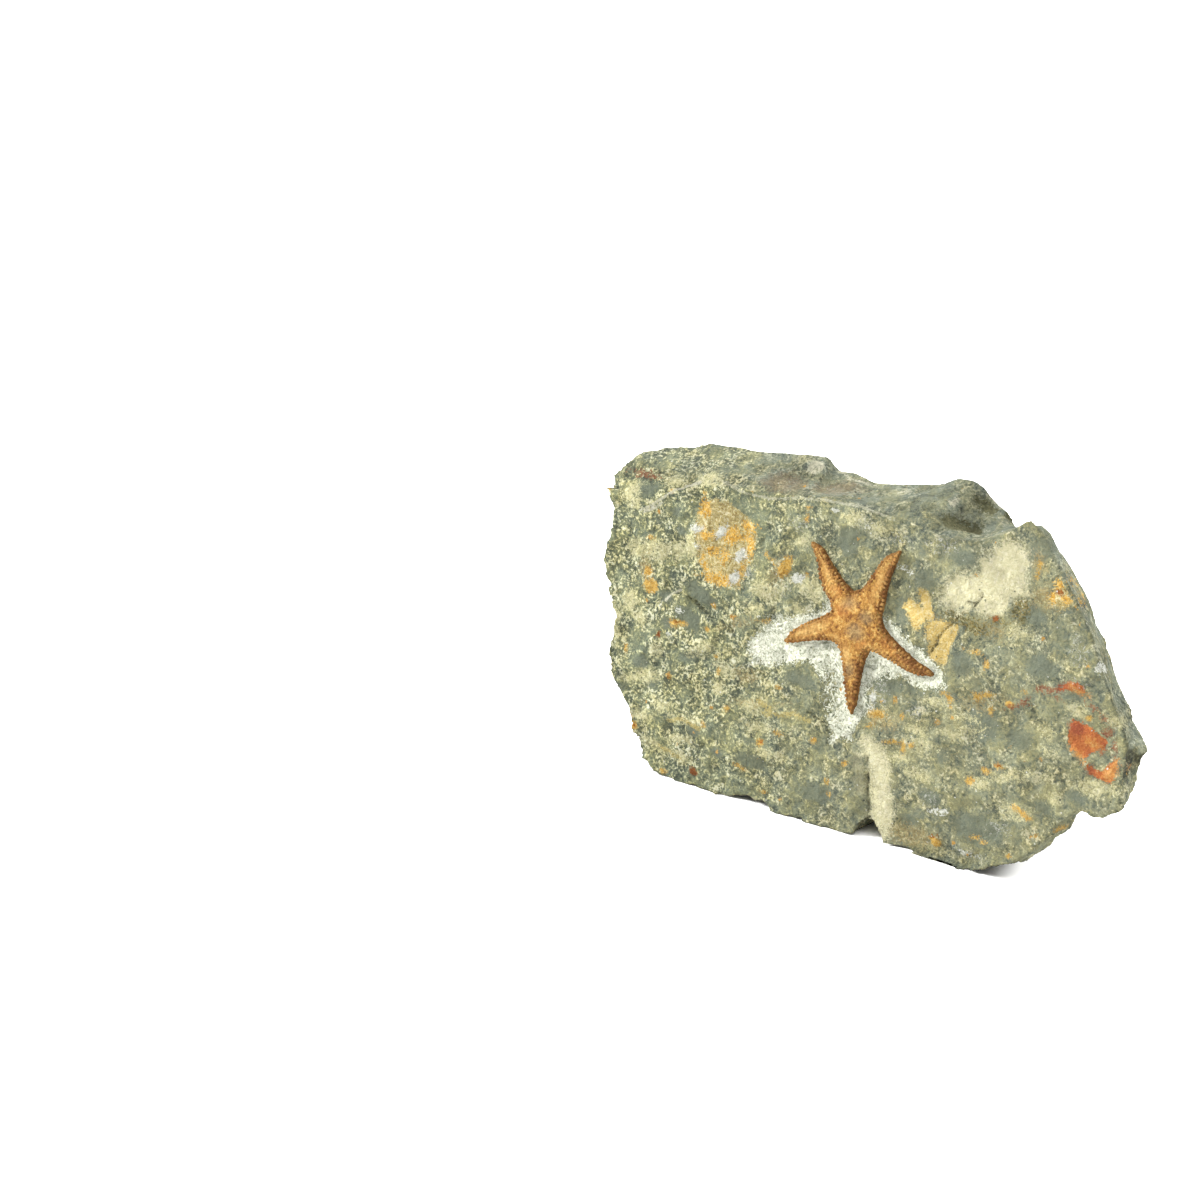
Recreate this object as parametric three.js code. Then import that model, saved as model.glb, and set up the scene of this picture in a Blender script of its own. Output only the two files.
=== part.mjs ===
// A fossil starfish on the split face of a block of siltstone. The block stands on a flat underside with its
// face leaning back a little. Millimetres, +X to the right along the face, +Y into the block, +Z up.
import * as THREE from "three";
import { ImprovedNoise } from "three/addons/math/ImprovedNoise.js";
import { mergeVertices } from "three/addons/utils/BufferGeometryUtils.js";

// ---- driving dimensions ----
const FACE_LEAN = THREE.MathUtils.degToRad(10); // the split face leans back from the vertical
const STAR_CENTRE_Z = 65; // height of the starfish's centre, which is also the centre of the face
const BLOCK_DEPTH = 50; // front foot to back face
const BACK_BULGE = 2; // the middle of the back stands out by this much more
const SEAT_GAP = 0.3; // between the starfish's flat back and the split face
const LONGEST_STEP = 3.9; // most distance between neighbouring points along the rim
const SHORTEST_TURN = THREE.MathUtils.degToRad(0.9); // corners closer than this, seen from the centre, are one

// Rim of the split face, [x, z], anticlockwise seen from the front, from the left end of the foot.
const FACE_RIM = [
  [-66, 0], [-37, 0], [-10, 0], [9, 0], // foot, left of the notch
  [11.3, 4.4], [14, 6.2], [17.3, 5.2], [20.3, 1.8], // notch under the clay seam
  [25.8, 1.2], [33.5, 1], [40.3, 0.9], [45.2, 0.6], // foot, right of the notch, a little off the ground
  [52.4, 3.3], [58.5, 5.9], [63.2, 7.9], [68.1, 12.1], [71, 15.8], [74, 18.8], // lower right edge
  [74.6, 22.6], [77.8, 25.8], [82, 27.2], [86, 26.6], // broken lower right corner
  [89.5, 27.7], [94.3, 32], [93.8, 36.5], [92.8, 41], [92.6, 50], [90.3, 54.5], // right end
  [86, 61.5], [80.4, 70.5], [76.3, 78], [69.8, 87], [62.2, 96], [57.6, 101], [55.8, 103.6], [52.8, 105.8], // slope, peak
  [47, 101.4], [40, 97.2], [30, 95], [22, 94.5], [11, 97], [-7, 99.6], [-20, 98.6], [-39, 95.5], // crest
  [-56, 96.2], [-66, 92.4], [-84, 85], [-98.6, 87.5], // crest, left
  [-95, 80.4], [-96, 72], [-98, 65], [-97.5, 60], [-93.5, 53], [-90, 47], [-91, 34], [-89, 27], // left end
  [-80, 19], [-77, 12], [-74, 10], [-72, 3], // left end, lower
];

// Widest outline of the block behind the face, [x, y, z], in the same order.
const GIRTH = [
  [-67, 16, 0], [-37, 16, 0], [8, 16, 0], [11.5, 13, 2.2], [14, 14, 3.2], [17.5, 13, 2.4], [21, 16, 0], [49, 18, 0],
  [55, 18, 3.5], [64, 20, 9.5], [68, 22, 15.5], [74, 22, 23], [82, 23, 25], [86, 22, 28.5], // lower right corner
  [91.6, 16, 35.6], [92, 17, 40.4], [93.5, 20, 44.6], [91.4, 22, 47.2], [87.6, 22, 50.2], [85.6, 23, 55.2], // right end
  [78.6, 24.5, 64], [74, 26, 72.2], [67.8, 27, 81.6], [60.2, 28, 91], [55, 28, 95.8], [54, 24, 101.4], [52.5, 21, 105],
  [44, 26, 98.6], [38, 36, 97.6], [36.8, 36, 100.5], [30.6, 36, 103.8], [27.8, 36, 106.3], [24.3, 36, 107.8], // hump
  [19, 36, 107.3], [13.5, 36, 104.6], [0, 36, 101.8], [-10, 36, 100.1], [-18.4, 36, 102.8], [-24, 36, 102.6], // top
  [-27, 36, 105.8], [-34, 36, 105.1], [-52, 36, 103.2], [-63, 36, 102.5], [-71.5, 36, 103.4], [-81.6, 34, 100], // top
  [-89.5, 30, 98.8], [-93, 26, 98], [-96.5, 22, 93.7], [-99.2, 20, 89.6], [-98, 24, 79], [-98.5, 24, 71], // left end
  [-99.5, 24, 62], [-95, 24, 51], [-93, 24, 40], [-92, 24, 26], [-82, 22, 19], [-79, 20, 10], [-74, 17, 3],
];

// Rim of the back, [x, z], in the same order.
const BACK_RIM = [
  [-60, 0], [45, 0], [55, 10], [66, 26], [70, 40], [66, 53], [57, 68], [46, 81], [34, 89], [12, 93], [-22, 90],
  [-50, 91], [-72, 87], [-86, 76], [-90, 56], [-84, 34], [-71, 10],
];

// Rings of the face and of the back as shares of their rim, outermost first. Each pair is [share, points skipped].
const FACE_RINGS = [
  [0.96, 1], [0.92, 1], [0.88, 1], [0.835, 1], [0.79, 1], [0.74, 2], [0.69, 2], [0.64, 2], [0.59, 2], [0.54, 2],
  [0.49, 2], [0.44, 4], [0.39, 4], [0.345, 4], [0.3, 4], [0.255, 4], [0.21, 4], [0.165, 4], [0.12, 4], [0.07, 8],
];
const BACK_RINGS = [[0.88, 2], [0.76, 2], [0.63, 4], [0.49, 4], [0.34, 4], [0.17, 8]];
const SHOULDER_BANDS = 4; // from the face's rim to the girth
const FLANK_BANDS = 4; // from the girth to the rim of the back

// Hollows and swellings, pushed in along the surface: centre [x, y, z], reach in x, y and z, and depth (in is +).
const HOLLOWS = [
  { at: [-27, 25, 101], reach: [10, 7, 7], depth: 2.4 }, // brown hollow on the shoulder
  { at: [-8, 26, 101], reach: [8, 6, 6], depth: 1.6 },
  { at: [32, 25, 99], reach: [8, 5, 5], depth: 3.2 }, // dark pit on the shoulder
  { at: [14, 26, 102], reach: [12, 6, 6], depth: -1.6 }, // smooth hump
  { at: [12.5, 1, 10], reach: [4.6, 9, 13], depth: 2.6 }, // clay seam running down to the notch
  { at: [36, 0, 2], reach: [20, 9, 13], depth: 4.2 }, // lower right of the face curves under
  { at: [-96, 10, 60], reach: [24, 14, 34], depth: 2.4 }, // left end turns away
  { at: [38, 13, 71], reach: [9, 6, 2.6], depth: 1.5 }, // gash under the pale patch
  { at: [44, 15, 84], reach: [14, 9, 10], depth: 1 }, // worn pale patch
  { at: [85, 8, 47], reach: [9, 8, 10], depth: 0.9 }, // bed of the red shell
  { at: [-70, 17, 93], reach: [16, 9, 7], depth: 1.3 }, // upper left facet
  { at: [60, 8, 33], reach: [22, 10, 14], depth: -1.4 }, // swelling at the lower right
  { at: [-40, 4, 20], reach: [30, 9, 14], depth: -1.2 }, // swelling at the lower left
];

// Roughness of the broken surfaces: [wavelength, height] of each layer of noise.
const FACE_NOISE = [[30, 1], [11, 0.7]];
const BROKEN_NOISE = [[26, 2.4], [12, 1.7], [7, 0.8]];
const BACK_NOISE = [[34, 4.2], [15, 1.8]];
const RIM_HOLD = 0.45; // the rim and the girth keep to their outline, with this share of the roughness

// ---- the starfish, in its own frame: x right, y up the face, z out of it, from its centre ----
// Edge of each arm, anticlockwise: from the web before it, up one side, round the tip and down the other side.
const ARMS = [
  [
    [9, 2.8], [9.5, 7], [9.8, 12.3], [10.9, 17.7], [12.4, 21.8], [13.1, 23.3], // upper right arm
    [12.1, 23.9], [10.4, 23.1], [8.5, 21.7], [6, 18], [3.6, 13.4], [1, 9.7], [-1.9, 8.6],
  ],
  [
    [-1.9, 8.6], [-5.4, 10.7], [-10.6, 15.4], [-14.1, 19.1], [-16.4, 20.6], [-18.6, 20.4], // upper left arm
    [-17.5, 18.2], [-15, 14.2], [-14.1, 11.2], [-11.8, 7.1], [-9, 3.8], [-8.2, 1],
  ],
  [
    [-8.2, 1], [-11.5, -1.4], [-16.6, -4.5], [-21.3, -8.1], [-23.7, -11.2], // lower left arm
    [-23.6, -12.2], [-21.5, -12], [-16.5, -10.3], [-11.3, -8.8], [-8, -8], [-5, -8.5],
  ],
  [
    [-5, -8.5], [-3, -10.6], [-1.6, -14.9], [0, -20.6], [1.9, -26.6], [3.2, -28.9], // lowest arm
    [4, -27.4], [4.4, -22.5], [4.7, -16.4], [5.3, -11.2], [6.7, -7.9],
  ],
  [
    [6.7, -7.9], [10.9, -8.4], [15.5, -9.5], [19.2, -10.8], [25.6, -11.5], [28.2, -11.3], // lower right arm
    [28.9, -10.3], [28, -9.1], [23.5, -7.9], [18, -5.2], [13.5, -2.6], [10.3, 0], [9, 2.8],
  ],
];
const EDGE_STEP = 1.15; // between stations along the edge
const ACROSS_STEPS = 4; // from an arm's mid line to its edge
const DISC_HEIGHT = 2.5;
const ARM_HEIGHT = 2.1; // where an arm leaves the disc
const TIP_HEIGHT = 1.1;
const EDGE_HEIGHT = 0.45; // upright edge all round
const EDGE_BEAD = 0.2; // plates along the edge stand out by this much, on every other station
const PLATEAU = 1.5; // the face stays flat this far out from the starfish
const TRENCH_WIDTH = 9; // the prepared trench round the starfish
const TRENCH_DEPTH = 0.9;

const perlin = new ImprovedNoise();
const { lerp, smoothstep } = THREE.MathUtils;
const turnOf = ([x, z]) => (Math.atan2(z - STAR_CENTRE_Z, x) + 2 * Math.PI) % (2 * Math.PI);
const faceDepth = (z) => z * Math.tan(FACE_LEAN);

// ---- shape of the starfish ----

// Stations along one arm's edge: the point on the edge, the point on the mid line, the share of the way from the
// web to the tip, and the bead. Both sides of an arm have the same number, and share their mid line.
function armStations(corners) {
  const flat = corners.map(([x, y]) => new THREE.Vector3(x, y, 0));
  const curve = new THREE.CatmullRomCurve3(flat, false, "centripetal");
  const finest = curve.getSpacedPoints(400).map((point) => point.length());
  const tipAt = finest.indexOf(Math.max(...finest)) / 400;
  const pointAt = (u) => new THREE.Vector2(...curve.getPointAt(u).toArray());
  const along = pointAt(tipAt).normalize();
  const length = pointAt(tipAt).length();
  const steps = Math.round(curve.getLength() / EDGE_STEP / 2);
  const stations = [];
  for (let k = -steps; k < steps; k++) {
    const share = 1 - Math.abs(k) / steps;
    const right = pointAt(tipAt * share);
    const left = pointAt(1 - (1 - tipAt) * share);
    const edge = k <= 0 ? right : left;
    const aside = ((along.cross(right) + along.cross(left)) / 2) * smoothstep(share, 0, 0.3);
    const middle = along.clone().multiplyScalar(0.97 * length * share ** 0.85);
    middle.add(new THREE.Vector2(-along.y, along.x).multiplyScalar(aside));
    const bead = share > 0.1 && share < 0.97 && k % 2 ? EDGE_BEAD : 0;
    edge.add(edge.clone().sub(middle).setLength(bead));
    stations.push({ edge, middle, share, bead });
  }
  return stations;
}

const STAR = ARMS.flatMap(armStations);

// Distance in the face's plane from a point to the starfish's edge, negative inside it.
function distanceToStar(x, y) {
  const point = new THREE.Vector2(x, y);
  const gap = Math.min(...STAR.map(({ edge }) => edge.distanceTo(point)));
  let inside = false;
  STAR.forEach(({ edge: a }, i) => {
    const b = STAR[(i + 1) % STAR.length].edge;
    if (a.y > y !== b.y > y && x < a.x + ((b.x - a.x) * (y - a.y)) / (b.y - a.y)) inside = !inside;
  });
  return inside ? -gap : gap;
}

// A closed geometry from loose triangles, with shared points merged and collapsed triangles dropped.
function closedGeometry(triangles) {
  const loose = new THREE.BufferGeometry().setFromPoints(triangles.flat());
  const merged = mergeVertices(loose, 1e-3);
  const corners = merged.index.array;
  const kept = [];
  for (let i = 0; i < corners.length; i += 3) {
    const [a, b, c] = corners.slice(i, i + 3);
    if (a !== b && b !== c && c !== a) kept.push(a, b, c);
  }
  merged.setIndex(kept);
  return merged;
}

// A low dome over the stations: highest on the disc, rounded across each arm, with beads along the edge.
function starGeometry() {
  const surfacePoint = ({ edge, middle, share, bead }, step) => {
    const across = step / ACROSS_STEPS;
    const plan = middle.clone().lerp(edge, across);
    const fromCentre = smoothstep(plan.length(), 2, 11);
    const armHeight = lerp(ARM_HEIGHT, TIP_HEIGHT, smoothstep(share, 0.1, 1));
    const crown = lerp(DISC_HEIGHT, armHeight, fromCentre);
    const nearEdge = step === ACROSS_STEPS - 1 ? bead : 0;
    return new THREE.Vector3(plan.x, plan.y, lerp(EDGE_HEIGHT, crown, Math.sqrt(1 - across ** 2)) + nearEdge);
  };
  const grounded = (point) => new THREE.Vector3(point.x, point.y, 0);
  const triangles = [];
  STAR.forEach((here, i) => {
    const next = STAR[(i + 1) % STAR.length];
    for (let step = 0; step < ACROSS_STEPS; step++) {
      const [a, b] = [surfacePoint(here, step), surfacePoint(here, step + 1)];
      const [c, d] = [surfacePoint(next, step), surfacePoint(next, step + 1)];
      triangles.push([a, b, d], [a, d, c]);
    }
    const [top, nextTop] = [surfacePoint(here, ACROSS_STEPS), surfacePoint(next, ACROSS_STEPS)];
    const [foot, nextFoot] = [grounded(here.edge), grounded(next.edge)];
    const [mid, nextMid] = [grounded(here.middle), grounded(next.middle)];
    triangles.push([top, foot, nextFoot], [top, nextFoot, nextTop]);
    triangles.push([foot, mid, nextMid], [foot, nextMid, nextFoot]);
  });
  return closedGeometry(triangles);
}

// ---- shape of the block ----

// Where a loop of [x, z] or [x, y, z] points is crossed by the ray at that turn from the face's centre.
function crossing(loop, turn) {
  const ray = new THREE.Vector2(Math.cos(turn), Math.sin(turn));
  for (let i = 0; i < loop.length; i++) {
    const [a, b] = [loop[i], loop[(i + 1) % loop.length]];
    const from = new THREE.Vector2(a[0], a.at(-1) - STAR_CENTRE_Z);
    const to = new THREE.Vector2(b[0], b.at(-1) - STAR_CENTRE_Z);
    const [before, after] = [ray.cross(from), ray.cross(to)];
    if (before <= 0 && after > 0 && ray.dot(from) > 0) {
      const share = before / (before - after);
      return a.map((value, axis) => lerp(value, b[axis], share));
    }
  }
  throw new Error("no crossing at " + turn);
}

// Turns of the stations: every corner of both loops, then the widest gaps halved until the steps are short and
// the count can be halved three times.
function stationTurns() {
  const turns = [];
  for (const loop of [FACE_RIM, GIRTH]) {
    for (const corner of loop) {
      const turn = turnOf([corner[0], corner.at(-1)]);
      const clear = turns.every((t) => Math.abs(((t - turn + 3 * Math.PI) % (2 * Math.PI)) - Math.PI) > SHORTEST_TURN);
      if (clear) turns.push(turn);
    }
  }
  for (;;) {
    turns.sort((a, b) => a - b);
    const gaps = turns.map((turn, i) => {
      const next = i + 1 < turns.length ? turns[i + 1] : turns[0] + 2 * Math.PI;
      const [p, q] = [crossing(FACE_RIM, turn), crossing(FACE_RIM, next % (2 * Math.PI))];
      const length = next - turn > SHORTEST_TURN / 4 ? Math.hypot(p[0] - q[0], p[1] - q[1]) : 0;
      return { middle: (turn + next) / 2, length };
    });
    const widest = gaps.reduce((a, b) => (b.length > a.length ? b : a));
    if (widest.length <= LONGEST_STEP && turns.length % 8 === 0) return turns;
    turns.push(widest.middle % (2 * Math.PI));
  }
}

// The block's rings of points, from the middle of the face round to the middle of the back.
function blockRings() {
  const turns = stationTurns();
  const vector = ([x, y, z]) => new THREE.Vector3(x, y, z);
  const rim = turns.map((turn) => {
    const [x, z] = crossing(FACE_RIM, turn);
    return new THREE.Vector3(x, faceDepth(z), z);
  });
  const girth = turns.map((turn) => vector(crossing(GIRTH, turn)));
  const back = turns.map((turn) => {
    const [x, z] = crossing(BACK_RIM, turn);
    return new THREE.Vector3(x, BLOCK_DEPTH, z);
  });
  const faceCentre = new THREE.Vector3(0, faceDepth(STAR_CENTRE_Z), STAR_CENTRE_Z);
  const backCentre = new THREE.Vector3(0, BLOCK_DEPTH + BACK_BULGE, STAR_CENTRE_Z);
  const between = (from, to, share) => from.map((point, i) => point.clone().lerp(to[i], share));
  // Rings well inside a rim follow its general run only: each point there is a mean over its neighbours.
  const eased = (loop, reach = 5) =>
    loop.map((_, i) => {
      const sum = new THREE.Vector3();
      for (let j = i - reach; j <= i + reach; j++) sum.add(loop.at(j % loop.length));
      return sum.divideScalar(2 * reach + 1);
    });
  const towards = (loop, centre, share) => {
    const general = eased(loop);
    const rimward = smoothstep(share, 0.55, 1);
    return loop.map((point, i) => centre.clone().lerp(general[i].clone().lerp(point, rimward), share));
  };
  const rings = FACE_RINGS.map(([share, skip]) => ({ points: towards(rim, faceCentre, share), skip })).reverse();
  for (let band = 0; band < SHOULDER_BANDS; band++) {
    rings.push({ points: between(rim, girth, band / SHOULDER_BANDS), skip: 1 });
  }
  rings.push({ points: girth, skip: 1 });
  for (let band = 1; band <= FLANK_BANDS; band++) {
    rings.push({ points: between(girth, back, band / FLANK_BANDS), skip: 2 });
  }
  BACK_RINGS.forEach(([share, skip]) => rings.push({ points: towards(back, backCentre, share), skip }));
  return { rings, faceCentre, backCentre };
}

// Triangles between two rings, where the one with more points has the same number or twice as many.
function stitch(inner, outer) {
  const count = inner.points.length;
  const [fine, coarse, flip] = inner.skip < outer.skip ? [inner, outer, true] : [outer, inner, false];
  const triangles = [];
  const add = (a, b, c) => triangles.push(flip ? [a, c, b] : [a, b, c]);
  for (let i = 0; i < count; i += coarse.skip) {
    const next = (i + coarse.skip) % count;
    const [near, nextNear] = [coarse.points[i], coarse.points[next]];
    if (fine.skip === coarse.skip) {
      add(near, fine.points[i], fine.points[next]);
      add(near, fine.points[next], nextNear);
    } else {
      const half = i + fine.skip;
      add(near, fine.points[i], fine.points[half]);
      add(near, fine.points[half], nextNear);
      add(nextNear, fine.points[half], fine.points[next]);
    }
  }
  return triangles;
}

const noiseAt = (point, layers, seed) =>
  layers.reduce(
    (sum, [wavelength, height]) =>
      sum + height * perlin.noise(point.x / wavelength + seed, point.y / wavelength, point.z / wavelength + seed),
    0,
  );

// How far the surface is pushed in at a point of the plain block.
function pushedIn(point) {
  const onFace = Math.abs(point.y - faceDepth(point.z)) < 0.01;
  const hollow = HOLLOWS.reduce((sum, { at, reach, depth }) => {
    const away = Math.hypot(...["x", "y", "z"].map((axis, i) => (point[axis] - at[i]) / reach[i]));
    return sum + depth * Math.exp(-2 * away * away);
  }, 0);
  if (!onFace) return hollow + noiseAt(point, point.y > BLOCK_DEPTH - 2 ? BACK_NOISE : BROKEN_NOISE, 7.3);
  const away = distanceToStar(point.x, (point.z - STAR_CENTRE_Z) / Math.cos(FACE_LEAN));
  const trench = TRENCH_DEPTH * smoothstep(away, PLATEAU, PLATEAU + 2) * (1 - smoothstep(away, 4, TRENCH_WIDTH));
  const relief = hollow + noiseAt(point, FACE_NOISE, 2.1);
  return trench + relief * smoothstep(away, relief > 0 ? 3 : 8, 16); // nothing rises close to the starfish
}

// The block, with its broken surface. Its underside stays flat.
function blockGeometry() {
  const { rings, faceCentre, backCentre } = blockRings();
  const triangles = rings.slice(1).flatMap((ring, i) => stitch(rings[i], ring));
  const cap = (ring, centre, flip) => {
    for (let i = 0; i < ring.points.length; i += ring.skip) {
      const [a, b] = [ring.points[i], ring.points[(i + ring.skip) % ring.points.length]];
      triangles.push(flip ? [centre, b, a] : [centre, a, b]);
    }
  };
  cap(rings[0], faceCentre, false);
  cap(rings.at(-1), backCentre, true);
  const outline = new Set();
  const key = (point) => point.toArray().map((value) => value.toFixed(3)).join();
  [FACE_RINGS.length, FACE_RINGS.length + SHOULDER_BANDS].forEach((at) =>
    rings[at].points.forEach((point) => outline.add(key(point))),
  );
  const geometry = closedGeometry(triangles);
  geometry.computeVertexNormals();
  const position = geometry.getAttribute("position");
  const normal = new THREE.Vector3();
  const point = new THREE.Vector3();
  for (let i = 0; i < position.count; i++) {
    point.fromBufferAttribute(position, i);
    normal.fromBufferAttribute(geometry.getAttribute("normal"), i);
    const hold = outline.has(key(point)) ? RIM_HOLD : 1;
    const onGround = point.z < 0.01;
    point.addScaledVector(normal, -pushedIn(point) * hold);
    position.setXYZ(i, point.x, point.y, onGround ? 0 : Math.max(point.z, 0.5));
  }
  geometry.deleteAttribute("normal");
  return geometry;
}

// ---- assembly ----

const rock = new THREE.Mesh(
  blockGeometry(),
  new THREE.MeshStandardMaterial({ color: 0x84897a, roughness: 0.92, metalness: 0 }),
);
rock.name = "rock";

const starfish = new THREE.Mesh(
  starGeometry(),
  new THREE.MeshStandardMaterial({ color: 0xb87a35, roughness: 0.85, metalness: 0 }),
);
starfish.name = "starfish";
starfish.position.z = SEAT_GAP;

const faceFrame = new THREE.Group();
faceFrame.position.set(0, faceDepth(STAR_CENTRE_Z), STAR_CENTRE_Z);
faceFrame.rotation.x = Math.PI / 2 - FACE_LEAN;
faceFrame.add(starfish);

// The origin is on the ground, under the middle of the block.
const fossil = new THREE.Group();
fossil.add(rock, faceFrame);
const middle = new THREE.Box3().setFromObject(fossil, true).getCenter(new THREE.Vector3());
fossil.position.set(-middle.x, -middle.y, 0);

export default fossil;
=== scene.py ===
# %% [markdown]
# # A fossil starfish on a block of siltstone
# The imported model gives the frame: every piece below is made in its metres. The box of the plain
# starfish is kept first, because everything on the face is placed from it.

import math

import bmesh
import bpy
import numpy as np
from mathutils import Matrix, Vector, noise
from mathutils.bvhtree import BVHTree


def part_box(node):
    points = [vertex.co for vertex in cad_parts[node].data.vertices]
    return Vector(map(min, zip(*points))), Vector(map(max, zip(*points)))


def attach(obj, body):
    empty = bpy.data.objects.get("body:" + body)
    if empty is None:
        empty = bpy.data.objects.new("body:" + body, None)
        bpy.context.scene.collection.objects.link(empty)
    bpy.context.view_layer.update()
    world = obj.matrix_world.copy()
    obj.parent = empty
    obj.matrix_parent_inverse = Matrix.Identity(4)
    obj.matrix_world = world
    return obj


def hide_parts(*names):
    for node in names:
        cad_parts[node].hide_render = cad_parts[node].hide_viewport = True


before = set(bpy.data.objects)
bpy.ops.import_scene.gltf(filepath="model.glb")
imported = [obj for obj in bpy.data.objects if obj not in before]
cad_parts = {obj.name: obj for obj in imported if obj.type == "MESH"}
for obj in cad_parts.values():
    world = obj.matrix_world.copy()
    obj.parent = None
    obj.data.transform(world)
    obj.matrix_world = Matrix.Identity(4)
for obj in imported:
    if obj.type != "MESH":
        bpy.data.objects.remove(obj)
scene = bpy.context.scene
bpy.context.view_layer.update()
MM = 0.001  # the frame is in metres, and the stone's sizes below are in millimetres
star_low, star_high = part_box("starfish")

# %% [markdown]
# The camera comes first, because it decides what needs the most care. It stands to the right of the block,
# is turned to it by nearly 40 degrees, and looks down by 20 degrees through a long lens.

# %% The camera
camera = bpy.data.objects.new("camera", bpy.data.cameras.new("camera"))
scene.collection.objects.link(camera)
scene.camera = camera
camera.location = (0.3508, -0.5731, 0.3044)
LOOKS_DOWN, TURNED = 19.631, 38.705  # degrees
camera.rotation_euler = (math.radians(90 - LOOKS_DOWN), 0, math.radians(TURNED))
camera.data.sensor_width = 36
camera.data.lens = 69.3
camera.data.clip_start, camera.data.clip_end = 0.01, 60
print("camera to the middle of the block, mm", round(camera.location.length / MM))

# %% [markdown]
# Everything on the split face is placed from the starfish's centre, in millimetres: across to the right,
# and up along the face, which leans back by ten degrees. Two functions go between that and the frame.

# %% The split face as a drawing board
LEAN = math.radians(10)
LEFT_REACH, DOWN_REACH, UP_REACH = 23.82, 28.89, 23.96  # from the starfish's centre to the sides of its box
BACK_GAP = 0.3  # its back is this far in front of the face
face_right = np.array([1.0, 0.0, 0.0])
face_up = np.array([0.0, math.sin(LEAN), math.cos(LEAN)])
face_out = np.array([0.0, -math.cos(LEAN), math.sin(LEAN)])
star_centre = np.array([
    star_low.x / MM + LEFT_REACH,
    star_high.y / MM - UP_REACH * math.sin(LEAN) + BACK_GAP * math.cos(LEAN),
    star_low.z / MM + DOWN_REACH * math.cos(LEAN) - BACK_GAP * math.sin(LEAN),
])


def to_face(points):
    """Points in frame millimetres as columns: across, up along the face, and out of it."""
    return (points - star_centre) @ np.stack([face_right, face_up, face_out]).T


def from_face(points):
    return points @ np.stack([face_right, face_up, face_out]) + star_centre


print("starfish centre in mm", star_centre.round(2))

# %% [markdown]
# ## Outlines on the face
# The arms, the scraped ground round them and each stain are closed outlines in those face millimetres. What
# the materials need is how far a point is from an outline, less than nothing inside it, because a distance
# can be blurred, roughened and cut at any level. The distance is stored on the mesh's points, so a pattern
# stays on the stone from every side.

# %% Distances to outlines
def distance_to_line(points, corners, closed=True):
    """Least distance from each point to a line through the corners, in face millimetres."""
    corners = np.array(corners, dtype=float)
    starts, ends = (corners, np.roll(corners, -1, axis=0)) if closed else (corners[:-1], corners[1:])
    nearest = np.full(len(points), 1e9)
    for start, end in zip(starts, ends):
        along = end - start
        share = np.clip((points - start) @ along / (along @ along), 0, 1)
        nearest = np.minimum(nearest, np.linalg.norm(points - start - share[:, None] * along, axis=1))
    return nearest


def distance_to_outline(points, corners):
    """As distance_to_line, but negative inside the closed outline."""
    inside = np.zeros(len(points), dtype=bool)
    x, y = points.T
    for (ax, ay), (bx, by) in zip(corners, np.roll(corners, -1, axis=0)):
        if ay != by:
            inside ^= ((ay > y) != (by > y)) & (x < ax + (bx - ax) * (y - ay) / (by - ay))
    gap = distance_to_line(points, corners)
    return np.where(inside, -gap, gap)


def distance_to_spots(points, spots):
    """Least distance to the edges of ellipses: across, up, two radii and, for some, a turn in degrees."""
    nearest = np.full(len(points), 1e9)
    for x, y, rx, ry, *turn in spots:
        angle = math.radians(sum(turn))
        c, s = math.cos(angle), math.sin(angle)
        dx, dy = points[:, 0] - x, points[:, 1] - y
        share = np.hypot((dx * c + dy * s) / rx, (dy * c - dx * s) / ry)
        nearest = np.minimum(nearest, (share - 1) * min(rx, ry))
    return nearest


def smooth(value, low, high):
    """0 at low, 1 at high, and an S-curve between. Low may be the larger of the two."""
    share = np.clip((value - low) / (high - low), 0, 1)
    return share * share * (3 - 2 * share)


square = [(-2, -2), (2, -2), (2, 2), (-2, 2)]
print("middle of a square of 4 mm, from its edge:", distance_to_outline(np.zeros((1, 2)), square)[0])


# %% [markdown]
# ## The arms
# Each arm's edge runs from the web before it, up one side, round the tip and down the other side.

# %% Arm edges
ARMS = {
    "upper_right": [
        (9, 2.8), (9.5, 7), (9.8, 12.3), (10.9, 17.7), (12.4, 21.8), (13.1, 23.3), (12.1, 23.9), (10.4, 23.1),
        (8.5, 21.7), (6, 18), (3.6, 13.4), (1, 9.7), (-1.9, 8.6),
    ],
    "upper_left": [
        (-1.9, 8.6), (-5.4, 10.7), (-10.6, 15.4), (-14.1, 19.1), (-16.4, 20.6), (-18.6, 20.4), (-17.5, 18.2),
        (-15, 14.2), (-14.1, 11.2), (-11.8, 7.1), (-9, 3.8), (-8.2, 1),
    ],
    "lower_left": [
        (-8.2, 1), (-11.5, -1.4), (-16.6, -4.5), (-21.3, -8.1), (-23.7, -11.2), (-23.6, -12.2), (-21.5, -12),
        (-16.5, -10.3), (-11.3, -8.8), (-8, -8), (-5, -8.5),
    ],
    "lowest": [
        (-5, -8.5), (-3, -10.6), (-1.6, -14.9), (0, -20.6), (1.9, -26.6), (3.2, -28.9), (4, -27.4),
        (4.4, -22.5), (4.7, -16.4), (5.3, -11.2), (6.7, -7.9),
    ],
    "lower_right": [
        (6.7, -7.9), (10.9, -8.4), (15.5, -9.5), (19.2, -10.8), (25.6, -11.5), (28.2, -11.3), (28.9, -10.3),
        (28, -9.1), (23.5, -7.9), (18, -5.2), (13.5, -2.6), (10.3, 0), (9, 2.8),
    ],
}
star_outline = np.array([corner for edge in ARMS.values() for corner in edge[:-1]])
arm_tips = {name: max(edge, key=lambda corner: math.hypot(*corner)) for name, edge in ARMS.items()}
print("arm lengths in mm", {name: round(math.hypot(*tip), 1) for name, tip in arm_tips.items()})

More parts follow.
